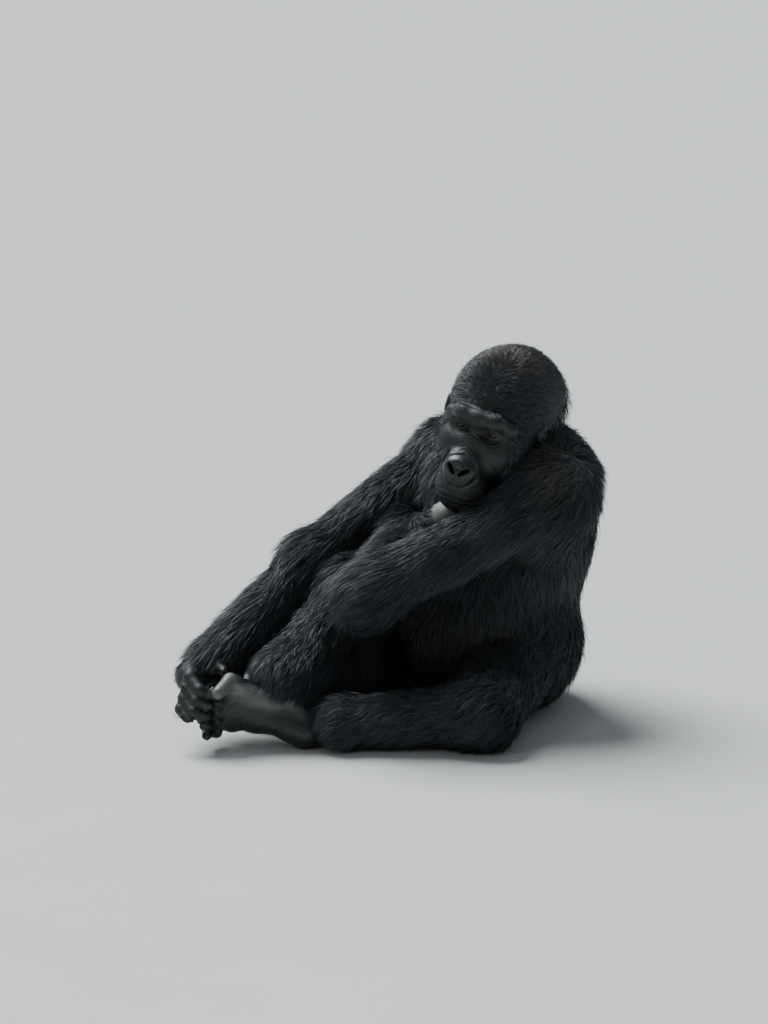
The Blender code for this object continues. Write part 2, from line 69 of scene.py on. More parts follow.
JOINT = {
    "shoulder_right": (0.118, 0.215, 0.540),
    "elbow_right": (-0.200, -0.050, 0.357),
    "wrist_right": (-0.405, -0.260, 0.177),
    "knuckles_right": (-0.458, -0.325, 0.152),
    "shoulder_left": (0.325, -0.120, 0.512),
    "elbow_left": (-0.055, -0.300, 0.340),
    "wrist_left": (0.025, -0.040, 0.405),
    "knuckles_left": (0.102, -0.075, 0.458),
    "hip_right": (0.150, 0.105, 0.140),
    "knee_right": (-0.105, -0.105, 0.282),
    "ankle_right": (-0.252, -0.300, 0.142),
    "hip_left": (0.270, -0.055, 0.140),
    "knee_left": (0.180, -0.365, 0.082),
    "ankle_left": (-0.125, -0.360, 0.055),
}
JOINT = {name: np.array(place) for name, place in JOINT.items()}
NECK_BASE = (0.264, 0.048, 0.555)
ARM_RADII = {"right": (0.088, 0.068, 0.053), "left": (0.098, 0.076, 0.062)}   # shoulder, elbow, wrist
LEG_RADII = {"right": (0.135, 0.090, 0.062), "left": (0.130, 0.086, 0.056)}   # hip, knee, ankle
UNDER_KNEE = (-0.062, -0.098, 0.108)         # where the calf and thigh of the raised leg hang to
HANDS = {       # "bare" is the stretch, in lengths of the hand, over which its back loses its hair
    "right": {"across": (0.25, 0.30, 0.92), "palm": 0.040, "bare": (0.95, 1.15),
              "steps": ((-0.012, -0.050, -0.022), (0.022, -0.030, -0.022), (0.026, 0.006, -0.012)),
              "thumb": ((0.020, -0.034, 0.010), (0.018, -0.028, -0.004))},
    "left": {"across": (0.12, 0.10, 0.98), "palm": 0.036, "bare": (0.72, 0.84),
             "steps": ((0.030, 0.014, 0.010), (0.018, 0.030, 0.0), (-0.008, 0.024, -0.006)),
             "thumb": ((0.010, -0.024, 0.016), (0.020, -0.014, 0.012))},
}
FEET = {
    "left": {"heel": (-0.165, -0.300, 0.038), "forward": (-0.75, 0.66, 0.02),
             "dorsal": (-0.16, -0.22, 0.96), "curl": 0.010},
    "right": {"heel": (-0.212, -0.356, 0.040), "forward": (-1.0, 0.0, 0.27),
              "dorsal": (0.0, 1.0, 0.10), "curl": 0.034},
}

# depth of the coat: what a radius of the solids loses under the skin
COAT_TRUNK = 0.024
COAT_NECK = 0.022
COAT_CROWN = 0.015
COAT_CHEEK = 0.006
COAT_ARM = 0.024
COAT_WRIST = 0.008
COAT_LEG = 0.020
COAT_ANKLE = 0.008
ARM_SKIN = {side: np.array(radii) - (COAT_ARM, COAT_ARM, COAT_WRIST) for side, radii in ARM_RADII.items()}
LEG_SKIN = {side: np.array(radii) - (COAT_LEG, COAT_LEG, COAT_ANKLE) for side, radii in LEG_RADII.items()}


# -------- frames of reference
def unit(v):
    v = np.asarray(v, float)
    return v / np.linalg.norm(v)


def axes_from(forward, up=(0, 0, 1)):
    """Rows: left, forward, up of a piece that points forward."""
    forward = unit(forward)
    left = unit(np.cross(up, forward))
    return np.stack([left, forward, np.cross(forward, left)])


def head_axes():
    yaw, pitch, roll = np.radians((HEAD_YAW, HEAD_PITCH, HEAD_ROLL))
    level = np.array((-math.sin(yaw), -math.cos(yaw), 0.0))
    forward = level * math.cos(pitch) - np.array((0, 0, math.sin(pitch)))
    left, _, up = axes_from(forward)
    crown = math.cos(roll) * up + math.sin(roll) * left
    return np.stack([np.cross(crown, forward), forward, crown])


def joints(side, *names):
    return [JOINT[name + "_" + side] for name in names]


TRUNK_AXES = axes_from(TRUNK_FACING)
HEAD_AXES = head_axes()


def in_head(left, forward, up):
    """A point given by its distances from the middle of the head."""
    return np.array(HEAD_CENTRE) + np.array((left, forward, up)) @ HEAD_AXES


def to_head(p):
    """Distances left, forward and up from the middle of the head."""
    return (p - np.array(HEAD_CENTRE)) @ HEAD_AXES.T


NECK_TOP = in_head(0, -0.062, -0.028)
EAR_MIDDLE = {side: in_head(side * 0.112, -0.040, -0.006) for side in (-1, 1)}     # 1 is the left


# -------- fields
def rod(start, end, radius_start, radius_end):
    """Distance to a round rod that tapers from start to end."""
    start = np.asarray(start, float)
    run = np.asarray(end, float) - start

    def distance(p):
        along = np.clip((p - start) @ run / (run @ run), 0, 1)
        off = np.linalg.norm(p - start - along[:, None] * run, axis=1)
        return off - (radius_start + (radius_end - radius_start) * along)
    return distance


def egg(centre, radii, axes):
    """Distance to an ellipsoid with the given half sizes along the rows of axes."""
    centre = np.asarray(centre, float)
    radii = np.asarray(radii, float)

    def distance(p):
        q = (p - centre) @ axes.T / radii
        reach = np.linalg.norm(q, axis=1)
        slope = np.linalg.norm(q / radii, axis=1)
        return reach * (reach - 1) / np.maximum(slope, 1e-9)
    return distance


def soft_min(a, b, reach):
    overlap = np.maximum(reach - np.abs(a - b), 0) / reach
    return np.minimum(a, b) - overlap * overlap * reach / 4


def soft_cut(body, hollow, reach):
    """The body with a hollow pressed into it."""
    return lambda p: -soft_min(-body(p), hollow(p), reach)


def blended(shapes, reach):
    """One field from several shapes, with fillets between them."""
    def distance(p):
        result = shapes[0](p)
        for shape in shapes[1:]:
            result = soft_min(result, shape(p), reach)
        return result
    return distance


def plane(point, normal):
    """Distance in front of a plane."""
    point = np.asarray(point, float)
    normal = unit(normal)
    return lambda p: (p - point) @ normal


def chained(places, radii, reach):
    """Rods from place to place, with fillets between them."""
    return blended([rod(*stretch) for stretch in zip(places, places[1:], radii, radii[1:])], reach)


def within(field, centre, radius, spare):
    """The same field, worked out only near a ball that holds its shape."""
    centre = np.asarray(centre, float)

    def distance(p):
        result = np.linalg.norm(p - centre, axis=1) - radius
        close = result < spare
        result = np.maximum(result, spare) + BLEND_RUN
        if close.any():
            result[close] = field(p[close])
        return result
    return distance


# -------- the parts of the body, under the coat
TRUNK_EGGS = (      # middle, and half sizes out to the tips of the coat
    ((0.240, 0.070, 0.430), (0.245, 0.180, 0.200)),
    ((0.262, 0.075, 0.535), (0.235, 0.145, 0.115)),
    ((0.195, 0.030, 0.290), (0.222, 0.205, 0.225)),
    ((0.140, -0.015, 0.195), (0.190, 0.190, 0.180)),
    ((0.215, 0.050, 0.130), (0.200, 0.185, 0.150)),
)


def trunk_field():
    eggs = [egg(middle, np.array(radii) - COAT_TRUNK, TRUNK_AXES) for middle, radii in TRUNK_EGGS]
    return blended(eggs, reach=0.12)


def neck_field():
    return blended([
        rod(NECK_BASE, NECK_TOP, 0.125 - COAT_NECK, 0.108 - COAT_NECK),
        rod((0.200, -0.010, 0.520), in_head(0, 0.0, -0.070), 0.100 - COAT_NECK, 0.085 - COAT_NECK),
    ], reach=0.06)


def head_egg(left, forward, up, radii):
    return egg(in_head(left, forward, up), radii, HEAD_AXES)


def cranium_shapes():
    """The haired parts of the head."""
    return [
        head_egg(0, -0.092, 0.036, np.array((0.127, 0.170, 0.115)) - COAT_CROWN),
        rod(in_head(0, -0.045, 0.080), in_head(0, -0.155, 0.052), 0.088 - COAT_CROWN, 0.088 - COAT_CROWN),
        head_egg(0, 0.035, -0.042, np.array((0.106, 0.090, 0.090)) - COAT_CHEEK),
    ]


def face_shapes():
    """Bridge of the nose, muzzle, chin, nose pad, and its wings and the cheeks on both sides."""
    shapes = [
        rod(in_head(0, 0.060, -0.030), in_head(0, 0.118, -0.092), 0.042, 0.039),
        head_egg(0, 0.098, -0.124, (0.060, 0.059, 0.051)),
        head_egg(0, 0.076, -0.152, (0.053, 0.057, 0.044)),
        head_egg(0, 0.133, -0.060, (0.026, 0.018, 0.016)),
        head_egg(0, 0.138, -0.078, (0.012, 0.019, 0.022)),
    ]
    for side in (-1, 1):
        shapes.append(head_egg(side * 0.021, 0.132, -0.076, (0.019, 0.022, 0.023)))
        shapes.append(head_egg(side * 0.050, 0.062, -0.048, (0.034, 0.044, 0.036)))
    return shapes


def brow_field():
    """A ledge over both eyes, level between them and falling away past each."""
    shapes = []
    for side in (-1, 1):
        arch = in_head(side * 0.038, 0.095, 0.038)
        shapes.append(rod(in_head(side * 0.072, 0.066, 0.022), arch, 0.014, 0.015))
        shapes.append(rod(arch, in_head(0, 0.099, 0.037), 0.015, 0.016))
    return blended(shapes, reach=0.020)


BROW = brow_field()


def distances(p, point):
    return np.linalg.norm(p - point, axis=1)


def bump(offset, width):
    """A smooth bump of height 1 over a distance from a line or point."""
    return np.exp(-(offset / width) ** 2)


def ramp(value, low, high):
    """0 below low, 1 above high, with a smooth step between them (or the other way round)."""
    t = np.clip((value - low) / (high - low), 0, 1)
    return t * t * (3 - 2 * t)


def segment_distance(x, z, start, end):
    """Distance in the plane of the face to a line from start to end."""
    run = np.array(end, float) - start
    along = np.clip(((x - start[0]) * run[0] + (z - start[1]) * run[1]) / (run @ run), 0, 1)
    return np.hypot(x - start[0] - along * run[0], z - start[1] - along * run[1])


MOUTH_HEIGHT = -0.139
NOSE_MIDDLE = -0.077
NOSTRIL = ((0.0225, -0.0645), (0.0150, -0.0700), (0.0070, -0.0785))   # across and up, outer end first


def face_relief(q):
    """How far the face's folds sink (or rise, below zero) at points in the head's own distances."""
    x, y, z = q.T
    wide = np.abs(x)
    mouth = MOUTH_HEIGHT - 4.5 * wide ** 2
    nose = z - NOSE_MIDDLE
    eye = np.hypot((wide - EYE_SPACING / 2) / 1.45, z - EYE_HEIGHT)
    # the mouth's line, the rims of its lips, and the fold over the chin
    sunk = 0.0042 * bump(z - mouth, 0.0027) * ramp(wide, 0.056, 0.046)
    sunk -= 0.0014 * bump(z - mouth - 0.0065, 0.0042) * ramp(wide, 0.050, 0.030)
    sunk -= 0.0020 * bump(z - mouth + 0.0070, 0.0046) * ramp(wide, 0.044, 0.024)
    sunk += 0.0015 * bump(z - mouth + 0.016, 0.0040) * ramp(wide, 0.040, 0.020)
    # the groove round the nose pad, and the pad's parting and dimple
    ring = np.hypot(x / 0.0405, nose / 0.0345)
    sunk += 0.0028 * bump(ring - 1, 0.110) * (1 - 0.75 * ramp(nose, -0.010, -0.030))
    sunk += 0.0020 * bump(x, 0.0028) * bump(nose + 0.020, 0.014)
    sunk += 0.0030 * bump(np.hypot(x, nose - 0.010), 0.0060)
    # two folds down each cheek
    sunk += 0.0024 * bump(segment_distance(wide, z, (0.040, -0.050), (0.062, -0.122)), 0.0034)
    sunk += 0.0013 * bump(segment_distance(wide, z, (0.050, -0.038), (0.080, -0.088)), 0.0030)
    # wrinkles across the bridge of the nose, and fine ones down the lips
    wrinkle = np.sin((z + 0.45 * wide) * 2 * np.pi / 0.0080)
    sunk += 0.0004 * wrinkle * bump(x, 0.020) * ramp(z, -0.046, -0.036) * ramp(z, 0.016, 0.006)
    lip = np.sin(x * 2 * np.pi / 0.0068 + 40 * z)
    sunk += 0.00028 * lip * bump(z - mouth - 0.002, 0.012) * ramp(wide, 0.048, 0.040)
    # bags under the eyes, and the notch between the brows
    bags = 0.0011 * bump(eye - 0.0165, 0.0018) + 0.0006 * bump(eye - 0.0225, 0.0024)
    sunk += bags * ramp(z - EYE_HEIGHT, 0.000, -0.008)
    sunk += 0.0018 * bump(x, 0.012) * bump(z - 0.044, 0.014)
    return sunk * ramp(y, 0.02, 0.06)


NOSTRIL_FLOOR = 0.136     # how far forward of the head's middle a nostril ends


def nostrils():
    """Two wide openings that look forward, each running up and out from beside the septum."""
    outer, middle, inner = NOSTRIL

    def distance(p):
        x, y, z = to_head(p).T
        wide = np.abs(x)
        line = np.minimum(segment_distance(wide, z, outer, middle), segment_distance(wide, z, middle, inner))
        radius = 0.0034 + 0.0022 * bump(np.hypot(wide - middle[0], z - middle[1]), 0.0075)
        return np.maximum(line - radius, NOSTRIL_FLOOR - y)
    return distance


EYE_CENTRE = {side: np.array(sum(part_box(node), Vector()) / 2) + CENTRE
              for side, node in ((1, "eye_left"), (-1, "eye_right"))}
LID_THICKNESS = 0.0026
LID_WIDTH = 0.0118       # half the opening between the lids, across
LID_HEIGHT = 0.0044      # and at its middle, up
EYE_ROOM = 0.0012        # the skin passes this far behind the front of the eyeball


def lids(face):
    """Adds lids over each eyeball and opens them."""
    def distance(p):
        result = face(p)
        for centre in EYE_CENTRE.values():
            off = (p - centre) @ HEAD_AXES.T
            ball = np.linalg.norm(off, axis=1) - EYE_RADIUS
            result = soft_min(result, ball - LID_THICKNESS, reach=0.005)
            height = LID_HEIGHT * (1 - (off[:, 0] / LID_WIDTH) ** 2)
            slit = np.abs(off[:, 2] + 0.0005) - height
            opening = np.maximum(np.maximum(slit, -off[:, 1]), -(ball + EYE_ROOM))
            result = -soft_min(-result, opening, reach=0.0008)
        return result
    return distance


def head_field():
    haired = blended(cranium_shapes() + face_shapes(), reach=0.026)

    def browed(p):
        return soft_min(haired(p), BROW(p), reach=0.024)
    head = browed
    for side in (-1, 1):
        socket = head_egg(side * EYE_SPACING / 2, 0.106, EYE_HEIGHT, (0.024, 0.022, 0.013))
        head = soft_cut(head, socket, reach=0.012)
    plain = head
    head = soft_cut(lambda p: plain(p) + face_relief(to_head(p)), nostrils(), reach=0.003)
    return within(lids(head), in_head(0, 0.0, -0.015), radius=0.200, spare=0.08)


def ear_field(side):
    """A small ear: a rim round a hollow, as the outer face of an egg."""
    middle = EAR_MIDDLE[side]
    shell = egg(middle, (0.0120, 0.0190, 0.0280), HEAD_AXES)

    def distance(p):
        off = (p - middle) @ HEAD_AXES.T
        ring = np.hypot((off[:, 1] - 0.003) / 0.0115, (off[:, 2] - 0.001) / 0.0190)
        fold = bump(np.hypot((off[:, 1] + 0.002) / 0.006, (off[:, 2] - 0.004) / 0.012) - 1, 0.4)
        hollow = 0.0060 * ramp(ring, 1.05, 0.6) - 0.0025 * fold * ramp(ring, 1.05, 0.7)
        return shell(p) + hollow * ramp(side * off[:, 0], 0.0, 0.003)
    return within(distance, middle, radius=0.032, spare=0.012)


def arm_field(side):
    return chained(joints(side, "shoulder", "elbow", "wrist"), ARM_SKIN[side], reach=0.05)


KNUCKLE_REACH = 0.006     # of the fillets at the joints of a finger or toe
FOLD_DEPTH = 0.0009       # of the folds across it
FOLD_PITCH = 0.0042


def digit_relief(p, places, radius):
    """Folds across a finger or toe, at its joints."""
    sunk = np.zeros(len(p))
    for before, place, after in zip(places, places[1:], places[2:]):
        off = p - place
        near = bump(np.linalg.norm(off, axis=1), 1.3 * radius)
        sunk += near * FOLD_DEPTH * np.cos(off @ unit(after - before) * 2 * np.pi / FOLD_PITCH)
    return sunk


def folded_digit(places, radii):
    plain = chained(places, radii, KNUCKLE_REACH)
    middle = sum(places) / len(places)
    reach = max(np.linalg.norm(place - middle) for place in places) + radii[0]
    return within(lambda p: plain(p) + digit_relief(p, places, radii[0]), middle, reach, spare=0.012)


FINGER_PITCH = 0.0242
FINGER_RADII = (0.0150, 0.0138, 0.0126, 0.0104)
THUMB_RADII = (0.0175, 0.0140, 0.0108)
TOE_RADII = (0.0138, 0.0124, 0.0106)
BIG_TOE_RADII = (0.0200, 0.0178, 0.0142)


def stepped(start, steps):
    """Joints that follow a start, one for each step."""
    return list(np.cumsum([start, *steps], axis=0))


def hand_digits(side):
    """The joints and radii of four fingers and the thumb."""
    wrist, knuckles = joints(side, "wrist", "knuckles")
    hand = HANDS[side]
    across = unit(hand["across"])
    digits = [(stepped(knuckles + across * (i - 1.5) * FINGER_PITCH, hand["steps"]), FINGER_RADII)
              for i in range(4)]
    return digits + [(stepped(wrist + (knuckles - wrist) * 0.4, hand["thumb"]), THUMB_RADII)]


def hand_field(side):
    wrist, knuckles = joints(side, "wrist", "knuckles")
    palm = HANDS[side]["palm"]
    shapes = [rod(wrist, knuckles, palm + 0.002, palm - 0.002)]
    shapes += [folded_digit(*digit_shape) for digit_shape in hand_digits(side)]
    return within(blended(shapes, reach=0.006), (wrist + knuckles) / 2, radius=0.110, spare=0.04)


def leg_field(side):
    """Hip to ankle; the calf and the back of the raised right thigh hang to a point under the knee."""
    hip, knee, ankle = joints(side, "hip", "knee", "ankle")
    at_hip, at_knee, at_ankle = LEG_RADII[side]
    shapes = [
        rod(hip, knee, at_hip - COAT_LEG, at_knee - COAT_LEG),
        rod(knee, ankle, at_knee * 0.95 - COAT_LEG, at_ankle - COAT_ANKLE),
    ]
    if side == "right":
        shapes += [
            rod(knee, UNDER_KNEE, at_knee * 0.85 - COAT_LEG, at_knee * 0.90 - COAT_LEG),
            rod(UNDER_KNEE, hip, at_knee * 0.90 - COAT_LEG, at_hip * 0.90 - COAT_LEG),
            rod(UNDER_KNEE, ankle, at_knee * 0.72 - COAT_LEG, at_ankle * 0.95 - COAT_ANKLE),
        ]
    return blended(shapes, reach=0.06)


def foot_frame(side):
    """A function from distances forward, medial and dorsal of the heel to a point, and its axes."""
    foot = FEET[side]
    forward = unit(foot["forward"])
    medial = unit(np.cross(foot["dorsal"], forward))
    dorsal = np.cross(forward, medial)
    if medial[2] < 0:
        medial = -medial

    def at(f, m, d):
        return np.array(foot["heel"]) + forward * f + medial * m + dorsal * d
    return at, np.stack([forward, medial, dorsal])


def to_foot(side, p):
    """Distances forward, medial and dorsal of the heel."""
    return (p - np.array(FEET[side]["heel"])) @ foot_frame(side)[1].T


def foot_digits(side):
    """The joints and radii of four toes and the big toe."""
    at, _ = foot_frame(side)
    curl = FEET[side]["curl"]
    digits = []
    for i in range(4):
        root = at(0.185, 0.012 - 0.023 * i, 0)
        middle = at(0.215 - 0.004 * i, 0.014 - 0.023 * i, -0.35 * curl)
        tip = at(0.222 - 0.006 * i, 0.012 - 0.022 * i, -1.2 * curl)
        digits.append(((root, middle, tip), TOE_RADII))
    big = (at(0.140, 0.058, 0), at(0.185, 0.070, -0.2 * curl), at(0.205, 0.050, -1.3 * curl))
    return digits + [(big, BIG_TOE_RADII)]


def foot_field(side):
    """A grasping foot, its sole crossed by folds."""
    ankle = JOINT["ankle_" + side]
    at, axes = foot_frame(side)
    shapes = [
        rod(ankle, at(0.020, 0.005, 0.010), 0.046, 0.040),
        rod(ankle, at(0.085, 0.020, 0.006), 0.045, 0.033),
        rod(at(0, 0, 0), at(0.075, 0.012, 0.004), 0.042, 0.038),
        egg(at(0.115, 0.018, 0.0), (0.078, 0.055, 0.032), axes),
        egg(at(0.160, 0.010, 0.0), (0.044, 0.059, 0.027), axes),
    ]
    shapes += [folded_digit(*digit_shape) for digit_shape in foot_digits(side)]
    plain = blended(shapes, reach=0.008)

    def distance(p):
        forward, medial, dorsal = to_foot(side, p).T
        waver = value_noise(p, cell=0.040, seed=31)[:, 0]
        fold = bump(np.sin(forward * 2 * np.pi / 0.090 + medial * 16 + 1.6 * waver), 0.14)
        cup = bump(np.hypot((forward - 0.085) / 1.8, medial - 0.022), 0.024)
        return plain(p) + ramp(dorsal, 0.0, -0.012) * (0.0011 * fold + 0.007 * cup)
    return within(distance, at(0.080, 0.010, 0.030), radius=0.170, spare=0.05)


# -------- the whole skin
def root_plane(start, end, run):
    """A plane across a limb, a little way out from the joint where it starts."""
    direction = unit(np.asarray(end) - np.asarray(start))
    return np.asarray(start) + direction * run, direction


HAND_FIELDS = {side: hand_field(side) for side in HANDS}
FOOT_FIELDS = {side: foot_field(side) for side in FEET}
EAR_FIELDS = [ear_field(side) for side in (-1, 1)]


def limbs():
    """Each chain's field and its root plane."""
    result = [(blended([neck_field(), head_field()], reach=0.05), root_plane(NECK_BASE, NECK_TOP, 0.020))]
    for side, wrist_fillet in (("right", 0.03), ("left", 0.02)):
        arm = blended([arm_field(side), HAND_FIELDS[side]], reach=wrist_fillet)
        leg = blended([leg_field(side), FOOT_FIELDS[side]], reach=0.03)
        result.append((arm, root_plane(*joints(side, "shoulder", "elbow"), 0.045)))
        result.append((leg, root_plane(*joints(side, "hip", "knee"), 0.060)))
    return result


def skin_field():
    """The whole animal under its coat, flat where it lies on the floor."""
    trunk = trunk_field()
    chains = limbs()

    def distance(p):
        own = trunk(p)
        result = own
        for limb, root in chains:
            fade = np.clip(1 - plane(*root)(p) / BLEND_RUN, 0.05, 1)
            result = np.minimum(result, soft_min(own, limb(p), ROOT_BLEND * fade))
        for ear in EAR_FIELDS:
            result = soft_min(result, ear(p), reach=0.010)
        return np.maximum(result, FLOOR - p[:, 2])
    return distance


# -------- the skin as a net
CORNERS = [(x, y, z) for x in (0, 1) for y in (0, 1) for z in (0, 1)]
EDGES = [(a, b) for a in CORNERS for b in CORNERS if a < b and sum(abs(i - j) for i, j in zip(a, b)) == 1]
SKIN_BOX = ((-0.53, -0.50, -0.01), (0.50, 0.35, 0.87))
SKIN_CELL = 0.0048
COARSE = 3                     # one coarse cell is this many fine ones
NEAR = 0.016                   # fine samples are taken where the coarse ones are this near the surface
SLOPE_STEP = 0.0003
LONGEST_SLIDE = 0.004
FACE_BOX = (in_head(0, 0.105, -0.060), (0.095, 0.085, 0.130))     # middle, and half sizes along the head
EYE_REACH = 0.026              # the finest net is this near an eye's middle


def block(values, corner):
    """The values at one corner of every cell."""
    nx, ny, nz = values.shape
    x, y, z = corner
    return values[x:nx - 1 + x, y:ny - 1 + y, z:nz - 1 + z]


def sampled(field, low, high, cell):
    """The field on a grid: exact near its surface, and rough elsewhere."""
    low = np.asarray(low, float)
    coarse_counts = np.ceil((np.asarray(high) - low) / (cell * COARSE)).astype(int) + 1
    coarse_index = np.indices(coarse_counts).reshape(3, -1).T
    middle = (COARSE - 1) / 2
    coarse = field(low + cell * (COARSE * coarse_index + middle)).reshape(coarse_counts)
    values = coarse.repeat(COARSE, 0).repeat(COARSE, 1).repeat(COARSE, 2)
    close = np.argwhere(np.abs(values) < NEAR)
    values[tuple(close.T)] = in_chunks(field, low + cell * close)
    return values


def in_chunks(function, points, size=200000):
    return np.concatenate([function(points[i:i + size]) for i in range(0, len(points), size)])


def surface_net(values, low, cell):
    """One point in each cell that the surface crosses, and a quad round each crossed grid edge."""
    total = np.zeros([n - 1 for n in values.shape] + [3])
    hits = np.zeros([n - 1 for n in values.shape])
    for a, b in EDGES:
        va = block(values, a)
        vb = block(values, b)
        crosses = (va < 0) != (vb < 0)
        share = np.where(crosses, va / np.where(crosses, va - vb, 1), 0)
        place = np.array(a) + share[..., None] * (np.array(b) - np.array(a))
        total += np.where(crosses[..., None], place, 0)
        hits += crosses
    active = hits > 0
    number = np.full(active.shape, -1)
    number[active] = np.arange(active.sum())
    verts = low + cell * (np.argwhere(active) + total[active] / hits[active][:, None])
    inside = values < 0
    step = np.eye(3, dtype=int)
    faces = []
    for axis in range(3):
        u, v = step[(axis + 1) % 3], step[(axis + 2) % 3]
        start = [slice(1, -1)] * 3
        start[axis] = slice(0, -1)
        end = list(start)
        end[axis] = slice(1, None)
        here = inside[tuple(start)]
        there = inside[tuple(end)]
        origin = 1 - step[axis]
        for leaves in (True, False):
            found = np.argwhere((here != there) & (here == leaves)) + origin
            ring = [number[tuple(c.T)] for c in (found - u - v, found - v, found, found - u)]
            faces.append(np.stack(ring if leaves else ring[::-1], 1))
    return verts, np.concatenate(faces)


def slid_onto(field, points):
    """Points moved along the field's slope towards its surface."""
    here = in_chunks(field, points)
    slope = np.stack([in_chunks(field, points + SLOPE_STEP * axis) - here for axis in np.eye(3)], 1)
    slope /= np.maximum(np.linalg.norm(slope, axis=1), 1e-12)[:, None]
    return points - np.clip(here, -LONGEST_SLIDE, LONGEST_SLIDE)[:, None] * slope


def relaxed(points, edges, share=0.5):
    """Each point moved towards the mean of its neighbours."""
    total = np.zeros_like(points)
    count = np.bincount(edges.ravel(), minlength=len(points))
    for i in (0, 1):
        for axis in range(3):
            total[:, axis] += np.bincount(edges[:, i], points[edges[:, 1 - i], axis], len(points))
    return points + share * (total / count[:, None] - points)


def read(items, name, width, kind=float):
    """One value of each of a mesh's items, as an array."""
    values = np.empty(len(items) * width, kind)
    items.foreach_get(name, values)
    return values.reshape(-1, width)


def positions(mesh):
    return read(mesh.vertices, "co", 3)


def refined(mesh, wanted):
    """The mesh with every edge halved whose two ends are wanted."""
    chosen = wanted(positions(mesh))
    bm = bmesh.new()
    bm.from_mesh(mesh)
    edges = [edge for edge in bm.edges if chosen[edge.verts[0].index] and chosen[edge.verts[1].index]]
    bmesh.ops.subdivide_edges(bm, edges=edges, cuts=1, use_grid_fill=True)
    bm.to_mesh(mesh)
    bm.free()


def everywhere(points):
    return np.ones(len(points), bool)


def bare_ends(points):
    """True round the face, and on the ears, hands and feet."""
    result = (np.abs((points - FACE_BOX[0]) @ HEAD_AXES.T) < FACE_BOX[1]).all(1)
    for end in (*EAR_FIELDS, *HAND_FIELDS.values(), *FOOT_FIELDS.values()):
        result |= end(points) < 0.003
    return result


def face_only(points):
    """True on the face, from the brow to the chin."""
    off = to_head(points)
    return (off[:, 1] > 0.045) & (off[:, 2] > -0.185) & (off[:, 2] < 0.062) & (np.abs(off[:, 0]) < 0.085)


def eyes_only(points):
    left, right = EYE_CENTRE.values()
    return np.minimum(distances(points, left), distances(points, right)) < EYE_REACH


def settled(mesh, field, wanted, rounds):
    """Evens out the wanted stretch of the net and puts it back on the surface."""
    points = positions(mesh)
    edges = read(mesh.edges, "vertices", 2, int)
    chosen = wanted(points)
    for _ in range(rounds):
        points[chosen] = slid_onto(field, relaxed(points, edges)[chosen])
    points[chosen] = slid_onto(field, points[chosen])
    mesh.vertices.foreach_set("co", points.ravel())
    mesh.update()


def skin_mesh(field):
    low, high = SKIN_BOX
    values = sampled(field, low, high, SKIN_CELL)
    verts, faces = surface_net(values, np.array(low), SKIN_CELL)
    mesh = bpy.data.meshes.new("skin")
    mesh.from_pydata(verts.tolist(), [], faces.tolist())
    settled(mesh, field, everywhere, 2)
    for wanted in (bare_ends, face_only, eyes_only):
        refined(mesh, wanted)
        settled(mesh, field, wanted, 1)
    return mesh


# -------- random numbers and noise
RANDOM = np.random.default_rng(7)
LATTICE = 32        # cells before a noise repeats


def lattice(low, high, seed):
    """Three random numbers for each corner or cell of the lattice."""
    return np.random.default_rng(seed).uniform(low, high, (LATTICE, LATTICE, LATTICE, 3))


def value_noise(points, cell, seed):
    """Three smooth noises, from -1 to 1, that change over about one cell."""
    values = lattice(-1, 1, seed)
    at = points / cell
    base = np.floor(at).astype(int)
    t = at - base
    t = t * t * (3 - 2 * t)
    result = np.zeros((len(points), 3))
    for corner in CORNERS:
        weight = np.prod(np.where(corner, t, 1 - t), axis=1)
        i, j, k = ((base + corner) % LATTICE).T
        result += weight[:, None] * values[i, j, k]
    return result


def lock_centres(points, cell, seed):
    """The middle of the lock of hair each point belongs to: the nearest of one random spot per cell."""
    spots = lattice(0.05, 0.95, seed)
    base = np.floor(points / cell).astype(int)
    best = np.full(len(points), np.inf)
    centre = np.zeros((len(points), 3))
    for step in np.indices((3, 3, 3)).reshape(3, -1).T - 1:
        there = base + step
        i, j, k = (there % LATTICE).T
        spot = (there + spots[i, j, k]) * cell
        gap = ((spot - points) ** 2).sum(1)
        nearer = gap < best
        best[nearer] = gap[nearer]
        centre[nearer] = spot[nearer]
    return centre


# -------- the lie of the coat
DOWN = np.array((0.0, 0.0, -1.0))


def towards(start, end):
    """The lie of hair that runs along a limb."""
    run = unit(np.asarray(end, float) - np.asarray(start, float))
    return lambda p: np.broadcast_to(run, p.shape)


def head_lie(p):
    """Back over the crown from the brow, down behind the ears, and down and back over the cheeks."""
    x, y, z = to_head(p).T
    lie = np.stack([0.35 * np.sign(x) * ramp(np.abs(x), 0.0, 0.05), -np.ones(len(p)),
                    -0.35 - 1.6 * ramp(z, 0.060, -0.060) - 1.2 * ramp(y, -0.08, -0.16)], 1)
    return lie @ HEAD_AXES


def trunk_lie(p):
    """Down and a little outwards; away from the whorl on each shoulder."""
    out = p - np.array((0.22, 0.03, 0.0))
    out[:, 2] = 0
    lie = DOWN + 0.9 * out
    for whorl in WHORLS:
        off = p - whorl
        far = np.linalg.norm(off, axis=1)[:, None]
        lie = lie + 2.6 * off / np.maximum(far, 0.01) * bump(far, 0.11)
    return lie


